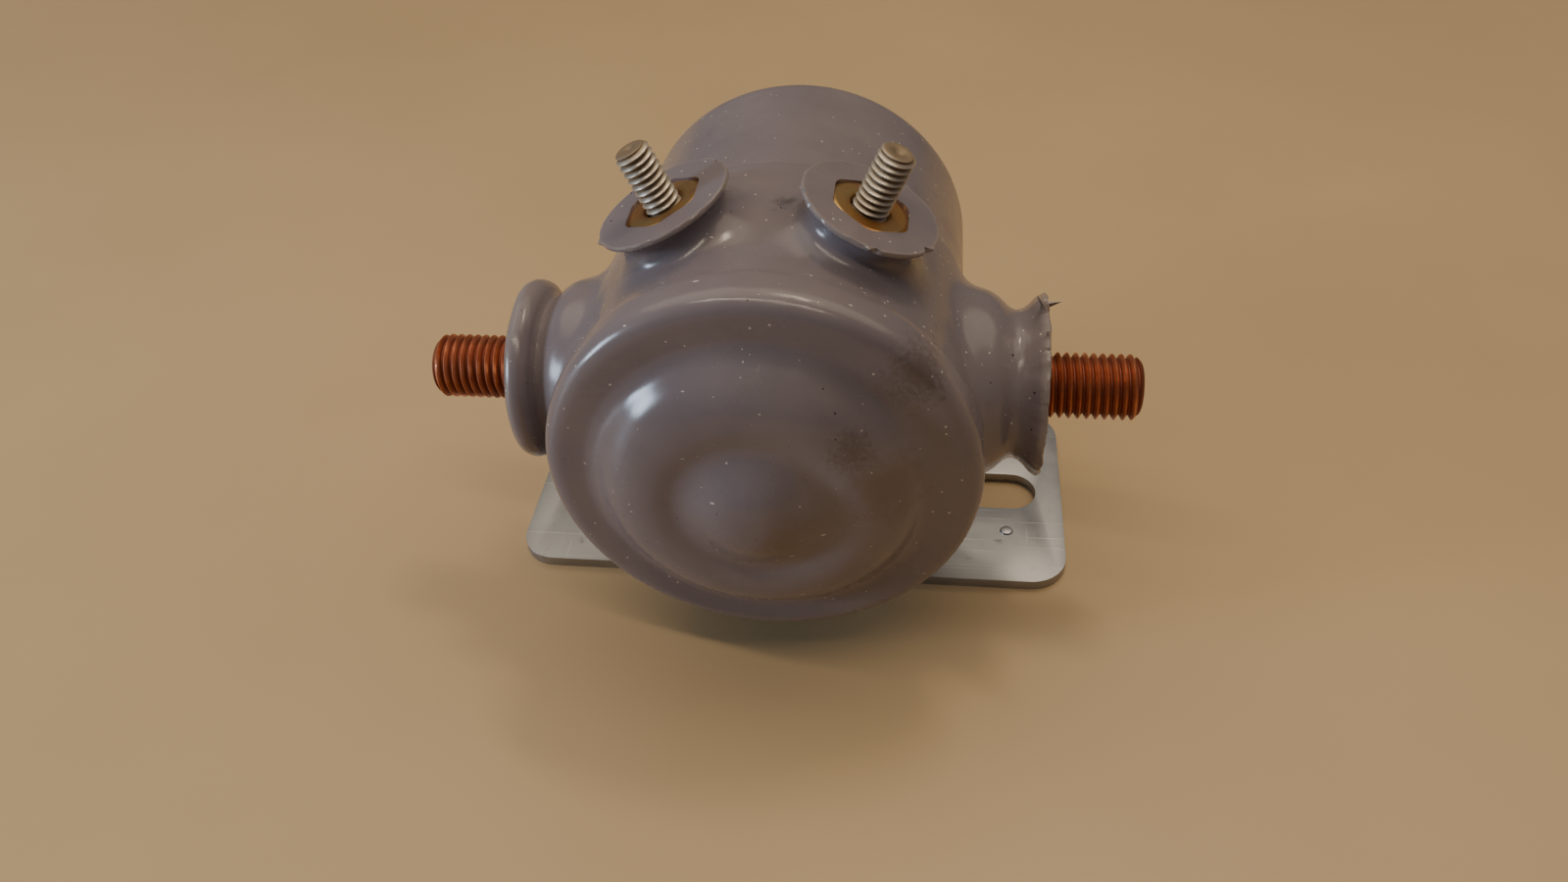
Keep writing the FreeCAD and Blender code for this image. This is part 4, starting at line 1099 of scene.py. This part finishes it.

# %% [markdown]
# ## Finishes for the parts inside
# The imported parts under the skin keep their shapes and get finishes from one small recipe: two
# tones, a roughness range, and either drawn lines, moulding grain or wound turns as bump. The
# winding's turns follow the bobbin's axis, 0.35 mm apart, with painted shade in the grooves between
# them.

# %% Inner finishes
def plain_finish(name, first, second, rough, metal=0.0, grain=1500.0, bump=0.2, lines=None,
                 turns=None):
    """Two tones, a roughness range, and drawn lines, wound turns or grain as bump."""
    finish, tree, shader, where = new_finish(name, Metallic=metal)
    tone = use_group(tree, "tone_wander", where, Scale=300.0, Low=0.3, High=0.7)
    height, depth = noise(tree, where, grain), 0.05
    colour = blend_colour(tree, tone, first, second)
    if lines:
        height = use_group(tree, "drawn_scuffs", where, Stretch=lines, Low=0.4, High=0.7)
    if turns:
        waves = {"Vector": where, "Scale": math.pi / 10 / (turns * MM), "Distortion": 0.4,
                 "Detail Scale": 40.0}
        height = add_node(tree, "ShaderNodeTexWave", waves, wave_type="BANDS",
                          bands_direction="Y").outputs["Fac"]
        # painted shade: the grooves between the wound turns are darkened
        colour, depth = blend_colour(tree, height, [v * 0.35 for v in first], colour), 0.12
    hue(tree, colour, shader)
    roughen(tree, tone, shader, *rough)
    raise_up(tree, shader, height, bump, depth)
    return finish


inner = {
    "deep_drawn_steel": plain_finish("drawn_steel", (0.42, 0.41, 0.40), (0.52, 0.51, 0.50),
        (0.28, 0.45), 1.0, lines=(900.0, 50.0, 900.0)),
    "phenolic": plain_finish("moulded_phenolic", (0.018, 0.014, 0.012), (0.032, 0.024, 0.020),
        (0.35, 0.55), grain=2600.0),
    "gasket_rubber": plain_finish("gasket_rubber_black", (0.012, 0.012, 0.013),
        (0.022, 0.022, 0.023), (0.65, 0.85), grain=2200.0, bump=0.4),
    "copper": plain_finish("contact_copper", (0.70, 0.29, 0.17), (0.58, 0.22, 0.13), (0.22, 0.45),
        1.0, lines=(700.0, 900.0, 80.0)),
    "fibre": plain_finish("vulcanised_fibre", (0.20, 0.045, 0.028), (0.27, 0.070, 0.040),
        (0.55, 0.75), lines=(400.0, 400.0, 60.0)),
    "enamelled_wire": plain_finish("wound_enamelled_wire", (0.46, 0.13, 0.045), (0.56, 0.18, 0.06),
        (0.18, 0.32), 0.85, turns=0.35, bump=0.9),
    "nylon": plain_finish("natural_nylon", (0.62, 0.57, 0.45), (0.70, 0.66, 0.55), (0.40, 0.55),
        grain=1800.0),
    "varnished_paper": plain_finish("varnished_paper_wrap", (0.34, 0.20, 0.08), (0.42, 0.27, 0.12),
        (0.30, 0.50), lines=(600.0, 60.0, 600.0)),
    "soft_iron": plain_finish("turned_soft_iron", (0.33, 0.32, 0.31), (0.42, 0.41, 0.40),
        (0.30, 0.50), 1.0, lines=(60.0, 1400.0, 60.0)),
    "brass": plain_finish("drawn_brass", (0.72, 0.52, 0.20), (0.80, 0.60, 0.26), (0.22, 0.38), 1.0,
        lines=(900.0, 50.0, 900.0)),
    "spring_steel": plain_finish("oiled_spring_steel", (0.22, 0.22, 0.23), (0.34, 0.34, 0.35),
        (0.22, 0.40), 1.0),
    "tinned_copper": plain_finish("tinned_copper_lead", (0.60, 0.58, 0.55), (0.70, 0.68, 0.65),
        (0.30, 0.48), 1.0),
    "zinc_plate": bright_zinc, "zinc_stud": zinc_thread["left"],
    "yellow_zinc": chromate_big, "dipped_vinyl": vinyl,
}
for spring in springs:
    dress(spring, inner["spring_steel"], 50)
for node in frame["nodes"].values():
    slot_name = node.material_slots[0].material.name.split(".")[0]
    node.material_slots[0].material = inner[slot_name]
print("finishes on", len(frame["nodes"]), "packed parts")

# %% [markdown]
# ## Bench, light and camera
# A plain pale bench stands under four soft lights: a small cool one from the left like a window,
# a long narrow warm lamp high over the front, a short one over the rear, and a broad warm ceiling
# that fills the rest. The camera looks down at the contactor's front from a little to its right,
# close enough for strong perspective.

# %% Bench and lights
bpy.ops.mesh.primitive_plane_add(size=3.0, location=(0, 0, 0))
bench = bpy.context.active_object
bench.name = "bench"
bench_finish, tree, shader, where = new_finish("pale_bench", Roughness=0.5)
shade = use_group(tree, "tone_wander", where, Scale=9.0, Low=0.2, High=0.8)
hue(tree, blend_colour(tree, shade, (0.50, 0.345, 0.182), (0.56, 0.39, 0.21)), shader)
dress(bench, bench_finish)


def area_light(name, spot, aim, size, watts, colour):
    """An oblong soft light at a spot, aimed at another, sizes in millimetres."""
    bpy.ops.object.light_add(type="AREA", location=Vector(spot) * MM)
    light = bpy.context.active_object
    light.name = name
    light.data.shape = "RECTANGLE"
    light.data.size, light.data.size_y = (v * MM for v in size)
    light.data.energy, light.data.color = watts, colour
    light.rotation_euler = (Vector(aim) - Vector(spot)).to_track_quat("-Z", "Y").to_euler()


MIDDLE, FOOT = (0, -20, 35), (0, 0, 30)
area_light("window", (-476, -175, 130), MIDDLE, (110, 130), 1.2, (0.66, 0.82, 1.0))
area_light("front lamp", (-40, -190, 510), MIDDLE, (520, 24), 0.85, (1.0, 0.84, 0.64))
area_light("rear lamp", (90, 130, 500), FOOT, (120, 30), 0.4, (1.0, 0.82, 0.60))
area_light("ceiling", (0, 260, 760), FOOT, (1900, 700), 5.0, (1.0, 0.85, 0.62))
world = bpy.data.worlds.new("room")
bpy.context.scene.world = world
world.use_nodes = True
room = next(n for n in world.node_tree.nodes if n.type == "BACKGROUND")
room.inputs["Color"].default_value = (0.80, 0.88, 1.0, 1.0)
room.inputs["Strength"].default_value = 0.10

# %% The camera
EYE = Vector((17.57, -130.35, 125.29)) * MM
YAW, PITCH, ROLL = -0.148, 0.721, 0.059
ahead = Vector((math.sin(YAW) * math.cos(PITCH), math.cos(YAW) * math.cos(PITCH), -math.sin(PITCH)))
level = Vector((math.cos(YAW), -math.sin(YAW), 0))
below = ahead.cross(level)
right = level * math.cos(ROLL) + below * math.sin(ROLL)
down = below * math.cos(ROLL) - level * math.sin(ROLL)
bpy.ops.object.camera_add()
camera = bpy.context.active_object
camera.data.lens, camera.data.sensor_width = 28.18, 36
camera.data.clip_start, camera.data.clip_end = 0.005, 20
columns = Matrix((right, -down, -ahead)).transposed().to_4x4()
camera.matrix_world = Matrix.Translation(EYE) @ columns
bpy.context.scene.camera = camera
